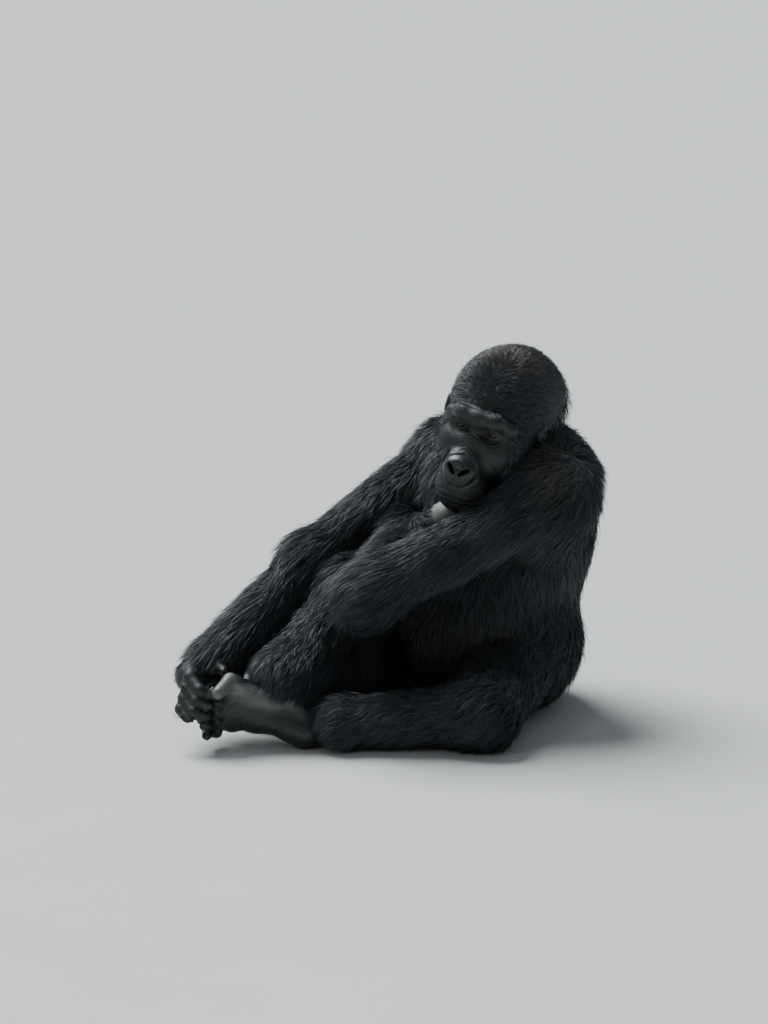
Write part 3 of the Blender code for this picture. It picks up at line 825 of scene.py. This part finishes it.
WHORLS = (np.array((0.372, -0.150, 0.585)), np.array((0.118, 0.250, 0.610)))
TUFTS = {       # length, width, number to a square metre, depth of the coat, droop
    "head": (0.026, 0.0010, 300000, COAT_CROWN, 0.05),
    "neck": (0.045, 0.0015, 130000, COAT_NECK, 0.15),
    "trunk": (0.050, 0.0017, 95000, COAT_TRUNK, 0.25),
    "upper_arm": (0.056, 0.0014, 158000, COAT_ARM, 0.25),
    "forearm": (0.052, 0.0014, 158000, COAT_ARM, 0.30),
    "thigh": (0.042, 0.0016, 108000, COAT_LEG, 0.35),
    "shin": (0.036, 0.0014, 138000, COAT_LEG, 0.35),
    "hand": (0.024, 0.0011, 220000, 0.006, 0.10),
    "foot": (0.020, 0.0010, 180000, 0.006, 0.0),
}
FOREARM_SWEEP = np.array((0.16, -0.10, -0.02))     # turns the raised forearm's hair outwards


class Coat:
    """One region of the coat: the rod it lies round, the lie of its hair, and its tufts."""

    def __init__(self, kind, start, end, radii, lie=None):
        self.start = np.asarray(start, float)
        self.end = np.asarray(end, float)
        self.field = rod(start, end, *radii)
        self.lie = lie or towards(start, end)
        self.length, self.width, self.density, self.depth, self.droop = TUFTS[kind]


def coats():
    """Every region, by the name of its piece."""
    result = {
        "head": Coat("head", in_head(0, -0.03, 0.07), in_head(0, -0.02, -0.04), (0.10, 0.09), head_lie),
        "neck": Coat("neck", NECK_BASE, NECK_TOP, (0.100, 0.086), lambda p: DOWN + 0 * p),
        "trunk": Coat("trunk", (0.240, 0.070, 0.520), (0.190, 0.020, 0.180), (0.185, 0.185), trunk_lie),
    }
    for side in ("left", "right"):
        shoulder, elbow, wrist, knuckles = joints(side, "shoulder", "elbow", "wrist", "knuckles")
        hip, knee, ankle = joints(side, "hip", "knee", "ankle")
        up = towards(wrist + FOREARM_SWEEP, elbow) if side == "left" else None
        for kind, *shape in (
            ("upper_arm", shoulder, elbow, ARM_SKIN[side][:2]),
            ("forearm", elbow, wrist, ARM_SKIN[side][1:], up),
            ("thigh", hip, knee, LEG_SKIN[side][:2]),
            ("shin", knee, ankle, LEG_SKIN[side][1:]),
            ("hand", wrist, knuckles, (0.040, 0.038)),
        ):
            result[kind + "_" + side] = Coat(kind, *shape)
    for side in FEET:
        at, _ = foot_frame(side)
        result["foot_" + side] = Coat("foot", at(0, 0, 0.01), at(0.16, 0.01, 0.01), (0.040, 0.040))
    return result


def face_gap(p):
    """How far out from the middle of the face a point is; its bare skin ends at 1."""
    x, y, z = to_head(p).T
    return np.sqrt((x / 0.078) ** 2 + ((y - 0.105) / 0.085) ** 2 + ((z + 0.068) / 0.126) ** 2)


def near_face(p):
    """1 along the edge of the bare face, where the hair is short."""
    return ramp(face_gap(p), 1.75, 1.15)


CALF_SIDE = np.array((-0.275, -0.170, 0.200))   # between the right calf and the forearm beside it


def fringe(p):
    """1 at the raised left elbow, where the hair is longer."""
    return bump(distances(p, JOINT["elbow_left"]), 0.13)


def shaggy(p):
    """1 where the hair is long and stands out: the back of the head, and beside the right calf."""
    x, y, z = to_head(p).T
    nape = 0.6 * ramp(y, -0.06, -0.17) * ramp(z, -0.01, 0.06) * ramp(z, 0.125, 0.085)
    return np.maximum(nape, bump(distances(p, CALF_SIDE), 0.10))


def along_hand(side, p):
    """How far along the hand a point is: 0 at the wrist, 1 at the knuckles."""
    wrist, knuckles = joints(side, "wrist", "knuckles")
    return (p - wrist) @ unit(knuckles - wrist) / np.linalg.norm(knuckles - wrist)


def palm_way(side):
    """The direction that the palm faces, which the fingers bend towards."""
    _, first, second = HANDS[side]["steps"]
    return unit(np.array(first) + second)


def bareness(p):
    """1 on bare skin (face, ears, palms, fingers, soles and toes), 0 under the full coat."""
    x, _, z = to_head(p).T
    hairline = z + 1.6 * x ** 2
    bare = [ramp(face_gap(p), 1.14, 1.00) * ramp(hairline, 0.060, 0.050),
            ramp(BROW(p), 0.006, 0.002) * ramp(hairline, 0.056, 0.048)]
    for middle in EAR_MIDDLE.values():
        off = (p - middle) @ HEAD_AXES.T
        bare.append(ramp(np.linalg.norm(off / (0.016, 0.022, 0.030), axis=1), 1.15, 0.95))
    for side, hand in HANDS.items():
        along = along_hand(side, p)
        inner = ramp((p - JOINT["wrist_" + side]) @ palm_way(side), 0.016, 0.028) * ramp(along, -0.15, 0.05)
        near = ramp(HAND_FIELDS[side](p), 0.010, 0.004)
        bare.append(near * np.maximum(ramp(along, *hand["bare"]), inner))
        thumb = chained(*hand_digits(side)[-1], KNUCKLE_REACH)
        bare.append(ramp(thumb(p), 0.004, 0.001))
    for side in FEET:
        forward, medial, dorsal = to_foot(side, p).T
        sole = ramp(dorsal, 0.006, -0.006) * ramp(medial, 0.082, 0.070)
        near = ramp(FOOT_FIELDS[side](p), 0.012, 0.005)
        bare.append(near * np.maximum(sole, ramp(forward, 0.150, 0.185)))
    return np.max(bare, axis=0)


# -------- roots and tufts
TUFT_ROWS = (0.0, 0.38, 0.74)       # places along a tuft where it has two points; the tip is one more
TUFT_WIDTHS = (1.0, 0.85, 0.52)
ALONG = np.array((*np.repeat(TUFT_ROWS, 2), 1.0))       # how far along its tuft each point is
TUFT_POINTS = len(ALONG)
TUFT_TRIANGLES = 5
ROOT_DEPTH = 0.0015                 # how far a root starts under the skin
PATCH = 0.003                       # a tuft's patch on the OFBake map
LOCK_SIZE = 0.016                   # distance between the locks that tufts gather into
LOCK_PULL = 0.55                    # how far towards its lock's middle a tip is drawn
LENGTH_SPREAD = (0.65, 1.25)        # least and most of a tuft's length against its region's
LIFT_SPREAD = (0.25, 1.05)          # and of its lift
WIDTH_SPREAD = (0.7, 1.3)           # and of its width
SHADE_SPREAD = (0.45, 1.45)         # and of its tip's brightness
MOST_ROLL = 0.9                     # radians a tuft is turned about its own length
STRAYS = 0.05                       # share of the tufts that stand out from the rest
FLOOR_ROOM = 0.006                  # tufts bend aside from this height above the floor
MOST_TRIANGLES = 195000             # in one coat piece


def skin_triangles(mesh):
    """Corners, corner normals and areas of the skin's triangles."""
    mesh.calc_loop_triangles()
    index = read(mesh.loop_triangles, "vertices", 3, int)
    corners = positions(mesh)[index]
    side_a = corners[:, 1] - corners[:, 0]
    side_b = corners[:, 2] - corners[:, 0]
    areas = np.linalg.norm(np.cross(side_a, side_b), axis=1) / 2
    return corners, read(mesh.vertices, "normal", 3)[index], areas


def nearest_region(points, regions):
    gaps = np.stack([region.field(points) for region in regions.values()], 1)
    return gaps.argmin(1), gaps


def blended_lie(points, regions, gaps):
    """The lie of the hair, turning smoothly from one region to the next."""
    weights = np.exp(-(gaps - gaps.min(1)[:, None]) / 0.012)
    total = np.zeros_like(points)
    for i, region in enumerate(regions.values()):
        near = weights[:, i] > 0.02
        lie = region.lie(points[near])
        lie = lie / np.maximum(np.linalg.norm(lie, axis=1), 1e-9)[:, None]
        total[near] += weights[near, i][:, None] * lie
    return total


def scattered(triangles, regions):
    """Random roots over the skin, as many in each region as its density asks for."""
    corners, normals, areas = triangles
    middles = corners.mean(1)
    which, _ = nearest_region(middles, regions)
    density = np.array([region.density for region in regions.values()])[which]
    chance = areas * density * (1 - 0.999 * bareness(middles) ** 0.5) * ramp(middles[:, 2], 0.000, 0.012)
    count = int(chance.sum() * COAT_SHARE)
    picked = RANDOM.choice(len(areas), count, p=chance / chance.sum())
    low, high = np.sort(RANDOM.random((count, 2)), axis=1).T
    weights = np.stack([low, high - low, 1 - high], 1)[:, :, None]
    roots = (corners[picked] * weights).sum(1)
    out = (normals[picked] * weights).sum(1)
    return roots, out / np.linalg.norm(out, axis=1)[:, None]


def across_from(vectors, normals, share=1.0):
    """Vectors less their part along each normal, or a share of it."""
    return vectors - (vectors * normals).sum(1)[:, None] * normals * share


def grown_tufts(roots, out, regions):
    """The points of every tuft, and its region."""
    which, gaps = nearest_region(roots, regions)
    of = {key: np.array([getattr(region, key) for region in regions.values()], float)[which]
          for key in ("length", "width", "depth", "droop")}
    count = len(roots)
    bare = bareness(roots)
    length = of["length"] * RANDOM.uniform(*LENGTH_SPREAD, count) * (1 - 0.72 * bare)
    length *= 1 + 0.25 * value_noise(roots, cell=0.05, seed=3)[:, 0]
    loose = shaggy(roots)
    length *= (1 + 0.35 * fringe(roots) + 0.45 * loose) * (1 - 0.60 * near_face(roots))
    lie = blended_lie(roots, regions, gaps)
    lie += 0.34 * value_noise(roots, cell=0.045, seed=11) + 0.20 * value_noise(roots, cell=0.014, seed=12)
    lie += 0.16 * RANDOM.normal(size=(count, 3))
    lie = across_from(lie, out)
    lie /= np.maximum(np.linalg.norm(lie, axis=1), 1e-6)[:, None]
    stray = RANDOM.random(count) < STRAYS
    lift = 1.55 * of["depth"] / length * RANDOM.uniform(*LIFT_SPREAD, count) * (1 - 0.6 * bare)
    lift = np.clip(np.where(stray, lift * 1.5, lift), 0.08, 1.2) * (1 - 0.55 * near_face(roots))
    lift *= 1 + 0.9 * loose
    pull = across_from(lock_centres(roots, LOCK_SIZE, seed=5) - roots, out)
    fall = across_from(DOWN, out, 0.8)
    side = np.cross(lie, out)
    roll = RANDOM.uniform(-MOST_ROLL, MOST_ROLL, count)[:, None]
    across = np.cos(roll) * side + np.sin(roll) * out
    width = of["width"] * RANDOM.uniform(*WIDTH_SPREAD, count) * (1 - 0.3 * bare)

    def middle(t):
        """Where the middle of each tuft is at a share t of its length."""
        rise = (lift * (t - 0.55 * t * t))[:, None]
        path = roots - ROOT_DEPTH * out + length[:, None] * (lie * t + out * rise)
        path += length[:, None] * fall * (of["droop"] * t * t * 0.6)[:, None]
        return path + pull * LOCK_PULL * t ** 1.5

    rows = []
    for t, share in zip(TUFT_ROWS, TUFT_WIDTHS):
        centre = middle(t)
        half = across * (width * share / 2)[:, None]
        rows += [centre - half, centre + half]
    return above_floor(np.stack([*rows, middle(1.0)], 1)), which


def above_floor(points):
    """Bends what would go under the floor along just above it."""
    low = np.minimum(points[:, :, 2] - FLOOR_ROOM, 0)
    points[:, :, 2] = np.maximum(points[:, :, 2], FLOOR_ROOM) - FLOOR_ROOM * (1 - np.exp(low / FLOOR_ROOM))
    return points


def placed(name, data):
    obj = bpy.data.objects.new(name, data)
    bpy.context.collection.objects.link(obj)
    return obj


def coat_faces(count):
    """Two quads and a triangle for each tuft, as flat loops."""
    base = np.arange(count)[:, None] * TUFT_POINTS
    loops = base + np.array((0, 1, 3, 2, 2, 3, 5, 4, 4, 5, 6))
    sizes = np.tile((4, 4, 3), count)
    return loops.ravel(), sizes


def unwrapped(points, region):
    """Each root's place on the region's skin, rolled out flat round its rod: angle across, length up."""
    axis = unit(region.end - region.start)
    side = unit(np.cross(axis, (0.31, 0.95, 0.05)))
    other = np.cross(axis, side)
    off = points - region.start
    angle = np.arctan2(off @ other, off @ side) / (2 * np.pi) + 0.5
    along = off @ axis
    along = (along - along.min()) / max(along.max() - along.min(), 1e-6)
    return np.stack([angle, along], 1) * (1 - 2 * PATCH) + PATCH / 2


def coat_object(name, tufts, colours, region, material):
    """One piece of the coat as a mesh, with its colours and its OFBake map."""
    count = len(tufts)
    loops, sizes = coat_faces(count)
    mesh = bpy.data.meshes.new(name)
    mesh.vertices.add(count * TUFT_POINTS)
    mesh.vertices.foreach_set("co", (tufts - CENTRE).astype(np.float32).ravel())
    mesh.loops.add(len(loops))
    mesh.loops.foreach_set("vertex_index", loops.astype(np.int32))
    mesh.polygons.add(len(sizes))
    starts = np.concatenate([[0], np.cumsum(sizes)[:-1]])
    mesh.polygons.foreach_set("loop_start", starts.astype(np.int32))
    mesh.polygons.foreach_set("use_smooth", np.ones(len(sizes), bool))
    mesh.update(calc_edges=True)
    roots = unwrapped(tufts[:, :2].mean(1), region)
    patch = np.stack([(0, 1, 0, 1, 0, 1, 0.5), ALONG], 1) * PATCH
    spots = (roots[:, None, :] + patch).reshape(-1, 2)
    layer = mesh.uv_layers.new(name="OFBake")
    layer.data.foreach_set("uv", spots[loops].astype(np.float32).ravel())
    tint = mesh.attributes.new("tint", "FLOAT_COLOR", "POINT")
    rgba = np.ones((count * TUFT_POINTS, 4), np.float32)
    rgba[:, :3] = colours.reshape(-1, 3)
    tint.data.foreach_set("color", rgba.ravel())
    mesh.materials.append(material)
    return placed(name, mesh)


# -------- colours
BLACK = np.array((0.0045, 0.0052, 0.0060))
SLATE = np.array((0.040, 0.049, 0.056))         # the cool sheen on the tips
BROWN = np.array((0.042, 0.027, 0.018))         # on the crown
DUN = np.array((0.120, 0.112, 0.098))           # round the whorl on each shoulder


def tip_colours(points):
    """The colour of the hair tips over the body."""
    x, y, z = to_head(points).T
    patches = value_noise(points, cell=0.07, seed=21)[:, :1]
    colour = SLATE * (1 + 0.45 * patches)
    crown = (ramp(z, 0.105, 0.145) * ramp(y, -0.20, -0.11) * ramp(np.abs(x), 0.10, 0.03))[:, None]
    colour = colour + crown * (BROWN - colour)
    for whorl in WHORLS:
        near = bump(distances(points, whorl), 0.055)[:, None]
        colour = colour + 0.75 * near * (DUN - colour)
    return colour


def tuft_colours(tufts):
    """Dark roots, lighter tips, and each tuft a little unlike the next."""
    roots = tufts[:, :2].mean(1)
    tips = tip_colours(roots) * RANDOM.uniform(*SHADE_SPREAD, (len(roots), 1))
    share = (ALONG ** 1.2)[:, None]
    return BLACK + share * (tips[:, None, :] - BLACK)


# -------- materials
MIX_SHARE, MIX_A, MIX_B, MIX_RESULT = 0, 6, 7, 2      # the colour sockets of a Mix node


class Look:
    """A material, and short ways to add nodes to it."""

    def __init__(self, name, roughness, specular):
        self.material = bpy.data.materials.new(name)
        self.material.use_nodes = True
        self.tree = self.material.node_tree
        self.shader = self.tree.nodes["Principled BSDF"].inputs
        self.give(self.shader["Roughness"], roughness)
        self.give(self.shader["Specular IOR Level"], specular)

    def give(self, socket, value):
        """Sets an input to a value, or joins another node's output to it."""
        if isinstance(value, bpy.types.NodeSocket):
            self.tree.links.new(value, socket)
        else:
            socket.default_value = value

    def node(self, kind, **settings):
        """A node with some of its properties and inputs set."""
        result = self.tree.nodes.new("ShaderNode" + kind)
        for name, value in settings.items():
            if name in result.inputs:
                self.give(result.inputs[name], value)
            else:
                setattr(result, name, value)
        return result

    def attribute(self, name, output="Fac"):
        return self.node("Attribute", attribute_name=name).outputs[output]

    def place(self):
        return self.node("TexCoord").outputs["Object"]

    def noise(self, scale, detail=4.0):
        result = self.node("TexNoise", Scale=scale, Detail=detail, Roughness=0.6, Vector=self.place())
        return result.outputs["Fac"]

    def ramp(self, source, *stops):
        """A colour ramp; a stop's colour may be one number, for a grey."""
        result = self.node("ValToRGB", Fac=source)
        elements = result.color_ramp.elements
        elements[0].position, elements[1].position = stops[0][0], stops[-1][0]
        for place, _ in stops[1:-1]:
            elements.new(place)
        for element, (_, colour) in zip(elements, stops):
            element.color = (*(colour if isinstance(colour, tuple) else (colour,) * 3), 1)
        return result.outputs["Color"]

    def mix(self, kind, share, a, b):
        result = self.node("Mix", data_type="RGBA", blend_type=kind)
        for socket, value in ((MIX_SHARE, share), (MIX_A, a), (MIX_B, b)):
            self.give(result.inputs[socket], value)
        return result.outputs[MIX_RESULT]

    def bump(self, height, strength, distance, **normal):
        result = self.node("Bump", Height=height, Strength=strength, Distance=distance, **normal)
        self.give(self.shader["Normal"], result.outputs["Normal"])
        return result.outputs["Normal"]


def coat_material():
    """Black hair, lighter and cooler at its tips, with a soft sheen."""
    look = Look("coat", 0.52, 0.50)
    speckle = look.ramp(look.noise(900.0, 2.0), (0.30, 0.70), (0.70, 1.25))
    look.give(look.shader["Base Color"], look.mix("MULTIPLY", 1.0, look.attribute("tint", "Color"), speckle))
    look.give(look.shader["Sheen Weight"], 0.12)
    look.give(look.shader["Sheen Roughness"], 0.45)
    look.give(look.shader["Sheen Tint"], (0.72, 0.84, 0.95, 1))
    return look.material


def skin_material():
    """Black leathery skin; under the coat it is darker and dull. A pale grey on the raised left hand and the
    right sole's inner rim is a painted highlight, the sky's reflection on glossy skin.
    """
    look = Look("skin", 0.50, 0.45)
    blotches = look.noise(45.0, 5.0)
    face = look.ramp(blotches, (0.32, (0.0085, 0.0100, 0.0110)), (0.68, (0.0200, 0.0225, 0.0235)))
    # painted highlight: a pale grey that stands for the sky's reflection on the raised left hand and the
    # right sole's inner rim
    palm = look.ramp(blotches, (0.30, (0.200, 0.205, 0.203)), (0.70, (0.290, 0.297, 0.290)))
    colour = look.mix("MIX", look.attribute("painted_sky_highlight"), face, palm)
    colour = look.mix("MIX", look.attribute("bare"), (0.0035, 0.0040, 0.0045, 1), colour)
    look.give(look.shader["Base Color"], colour)
    cells = look.node("TexVoronoi", Scale=420.0, feature="DISTANCE_TO_EDGE", Vector=look.place())
    creases = look.ramp(cells.outputs["Distance"], (0.0, 0.0), (0.20, 1.0))
    folds = look.noise(130.0, 6.0)
    folded = look.bump(folds, 0.55, 0.0012)
    look.bump(creases, 0.35, 0.0004, Normal=folded)
    dry = look.ramp(folds, (0.35, 0.42), (0.65, 0.62))
    look.give(look.shader["Roughness"], look.mix("MIX", look.attribute("moist"), dry, (0.27, 0.27, 0.27, 1)))
    return look.material


def eye_material():
    """Wet brown iris round a black pupil, in a dark eyeball."""
    look = Look("eye", 0.08, 0.4)
    pupil = (0.002, 0.002, 0.002)
    parts = look.ramp(look.attribute("ring"), (0.0, pupil), (0.20, pupil),
                      (0.23, (0.016, 0.008, 0.004)), (0.45, (0.011, 0.006, 0.003)),
                      (0.50, (0.004, 0.003, 0.002)), (0.56, (0.008, 0.006, 0.005)),
                      (1.0, (0.007, 0.005, 0.004)))
    streaks = look.ramp(look.noise(700.0, 3.0), (0.3, 0.7), (0.7, 1.3))
    look.give(look.shader["Base Color"], look.mix("MULTIPLY", 0.8, parts, streaks))
    return look.material


def nail_material():
    """Dark horn, mottled and a little uneven."""
    look = Look("nail", 0.48, 0.4)
    mottle = look.noise(260.0, 3.0)
    look.give(look.shader["Base Color"],
              look.ramp(mottle, (0.3, (0.010, 0.010, 0.009)), (0.7, (0.034, 0.032, 0.030))))
    look.bump(mottle, 0.3, 0.0004)
    return look.material


def floor_material():
    look = Look("floor", 0.75, 0.25)
    look.give(look.shader["Base Color"],
              look.ramp(look.noise(3.0, 3.0), (0.3, (0.66, 0.67, 0.66)), (0.7, (0.69, 0.70, 0.69))))
    return look.material


# -------- pieces
def add_piece(name, mesh, material, slot, *replaced):
    obj = placed(name, mesh)
    mesh.materials.append(material)
    mesh.shade_smooth()
    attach(obj, "root")
    if replaced:
        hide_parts(*replaced)


def point_values(mesh, name, values):
    mesh.attributes.new(name, "FLOAT", "POINT").data.foreach_set("value", np.asarray(values, np.float32))


def painted_highlight(p):
    """Share of a painted highlight, the sky's reflection on glossy skin painted as pale grey: 1 on the
    raised hand past its wrist, and less on the inner rim of the right sole.
    """
    _, medial, dorsal = to_foot("right", p).T
    near = ramp(FOOT_FIELDS["right"](p), 0.012, 0.006)
    rim = 0.45 * near * ramp(dorsal, 0.006, -0.010) * ramp(medial, 0.024, 0.050)
    hand = ramp(HAND_FIELDS["left"](p), 0.004, 0.001) * ramp(along_hand("left", p), 0.68, 0.80)
    return np.maximum(rim, hand)


def moistness(p):
    """1 on the nose pad and a little less on the right sole, which shine."""
    x, y, z = to_head(p).T
    nose = ramp(np.hypot(x / 0.042, (z - NOSE_MIDDLE) / 0.038), 1.15, 0.85) * ramp(y, 0.105, 0.120)
    dorsal = to_foot("right", p)[:, 2]
    sole = ramp(FOOT_FIELDS["right"](p), 0.008, 0.003) * ramp(dorsal, 0.012, -0.006)
    return np.maximum(nose, 0.8 * sole)


FLESH = ["head", "neck", "trunk", "ear_left", "ear_right"]
FLESH += [part + side for part in ("upper_arm", "forearm", "hand", "thigh", "shin", "foot")
          for side in ("_left", "_right")]


def add_skin(field):
    mesh = skin_mesh(field)
    points = positions(mesh)
    # the pale attribute carries the share of the painted highlight to the skin
    for name, values in (("bare", bareness), ("painted_sky_highlight", painted_highlight), ("moist", moistness)):
        point_values(mesh, name, values(points))
    triangles = skin_triangles(mesh)
    mesh.vertices.foreach_set("co", (points - CENTRE).ravel())
    mesh.update()
    add_piece("skin", mesh, skin_material(), "skin", *FLESH)
    return triangles


IRIS = 0.0068
CORNEA = 0.0011                 # how far the clear bulge stands out over the iris
GAZE = (0.05, 1.0, -0.10)       # left, forward and up of the head


def add_eye(side, material):
    """An eyeball with a clear bulge in front of its iris, turned to where it looks."""
    mesh = bpy.data.meshes.new("eyeball")
    bm = bmesh.new()
    bmesh.ops.create_uvsphere(bm, u_segments=48, v_segments=32, radius=EYE_RADIUS)
    ring = []
    for vertex in bm.verts:
        off_axis = math.hypot(vertex.co.x, vertex.co.y)
        front = vertex.co.z > 0
        if front and off_axis < IRIS:
            vertex.co.z += CORNEA * (1 - (off_axis / IRIS) ** 2)
        ring.append(min(off_axis / (2 * IRIS), 1.0) if front else 1.0)
    gaze = Vector(np.array(GAZE) @ HEAD_AXES)
    turn = gaze.to_track_quat("Z", "Y").to_matrix().to_4x4()
    middle = Vector(EYE_CENTRE[side] - CENTRE)
    bmesh.ops.transform(bm, matrix=Matrix.Translation(middle) @ turn, verts=bm.verts)
    bm.to_mesh(mesh)
    bm.free()
    point_values(mesh, "ring", ring)
    name = "eye_left" if side > 0 else "eye_right"
    add_piece(name + "_ball", mesh, material, "eye", name)


def add_nails(name, digits, outward, material):
    """A curved plate on the outer side of each digit's end."""
    mesh = bpy.data.meshes.new(name)
    bm = bmesh.new()
    for places, radii in digits:
        tip, radius = places[-1], radii[-1]
        run = unit(tip - places[-2])
        up = unit(outward - (outward @ run) * run)
        axes = np.stack([np.cross(run, up), run, up])
        half_width, half_length, half_depth = 0.80 * radius, 0.95 * radius, 0.34 * radius
        middle = tip + up * 0.74 * radius + run * 0.22 * radius - CENTRE
        for vertex in bmesh.ops.create_uvsphere(bm, u_segments=20, v_segments=12, radius=1.0)["verts"]:
            local = np.array(vertex.co) * (half_width, half_length, half_depth)
            local[2] -= 0.30 * radius * (local[0] / half_width) ** 2
            vertex.co = Vector(middle + local @ axes)
    bm.to_mesh(mesh)
    bm.free()
    add_piece(name, mesh, material, "nail")


def add_all_nails():
    material = nail_material()
    for side in HANDS:
        wrist, knuckles = joints(side, "wrist", "knuckles")
        outward = 0.4 * unit(knuckles - wrist) - palm_way(side)
        add_nails("nails_hand_" + side, hand_digits(side), outward, material)
    for side in FEET:
        _, axes = foot_frame(side)
        add_nails("nails_foot_" + side, foot_digits(side), axes[2] + 0.3 * axes[0], material)


def add_coat(triangles):
    """Grows every tuft and joins those of a region into pieces of a bounded size."""
    regions = coats()
    roots, out = scattered(triangles, regions)
    tufts, which = grown_tufts(roots, out, regions)
    colours = tuft_colours(tufts)
    material = coat_material()
    most = MOST_TRIANGLES // TUFT_TRIANGLES
    for i, (name, region) in enumerate(regions.items()):
        own = np.flatnonzero(which == i)
        own = own[np.argsort(tufts[own, 0, 2])]
        for part, chosen in enumerate(np.array_split(own, -(-len(own) // most))):
            piece = coat_object(f"coat_{name}_{part + 1}", tufts[chosen], colours[chosen], region, material)
            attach(piece, "root")


# -------- floor, light and camera
CAMERA_TARGET = np.array((-0.036, 0.0, 0.45))
CAMERA_DISTANCE = 8.0
CAMERA_PITCH = 13.0
CAMERA_LENS = 123.75


def add_floor():
    bpy.ops.mesh.primitive_plane_add(size=160, location=(0, 30, 0))
    floor = bpy.context.object
    floor.name = "floor"
    floor.data.materials.append(floor_material())


LIGHT_TARGET = Vector((0, 0, 0.4))


def add_light(name, kind, place, power, colour, **shape):
    data = bpy.data.lights.new(name, kind)
    data.energy = power
    data.color = colour
    for key, value in shape.items():
        setattr(data, key, value)
    light = placed(name, data)
    light.location = place
    light.rotation_euler = (LIGHT_TARGET - Vector(place)).to_track_quat("-Z", "Y").to_euler()


def add_lights():
    """A bright soft sky from above and behind the left, and a weak fill from the front."""
    world = bpy.data.worlds.new("studio")
    bpy.context.scene.world = world
    world.use_nodes = True
    background = world.node_tree.nodes["Background"]
    background.inputs["Color"].default_value = (0.82, 0.90, 0.96, 1)
    background.inputs["Strength"].default_value = 0.25
    add_light("overhead", "SUN", (-1.7, 1.9, 4.2), 5.0, (0.94, 0.98, 1.0), angle=math.radians(38))
    add_light("front", "AREA", (-2.6, -3.4, 2.6), 14, (1.0, 0.99, 0.97), size=1.0)


def add_camera():
    pitch = math.radians(CAMERA_PITCH)
    forward = np.array((0, math.cos(pitch), -math.sin(pitch)))
    data = bpy.data.cameras.new("camera")
    data.lens = CAMERA_LENS
    data.sensor_width = 36
    data.clip_end = 300
    camera = placed("camera", data)
    camera.location = CAMERA_TARGET - CENTRE * (1, 1, 0) - CAMERA_DISTANCE * forward
    camera.rotation_euler = (math.radians(90 - CAMERA_PITCH), 0, 0)
    bpy.context.scene.camera = camera


skin_faces = add_skin(skin_field())
eyes = eye_material()
for eye_side in (-1, 1):
    add_eye(eye_side, eyes)
add_all_nails()
add_coat(skin_faces)
add_floor()
add_lights()
add_camera()
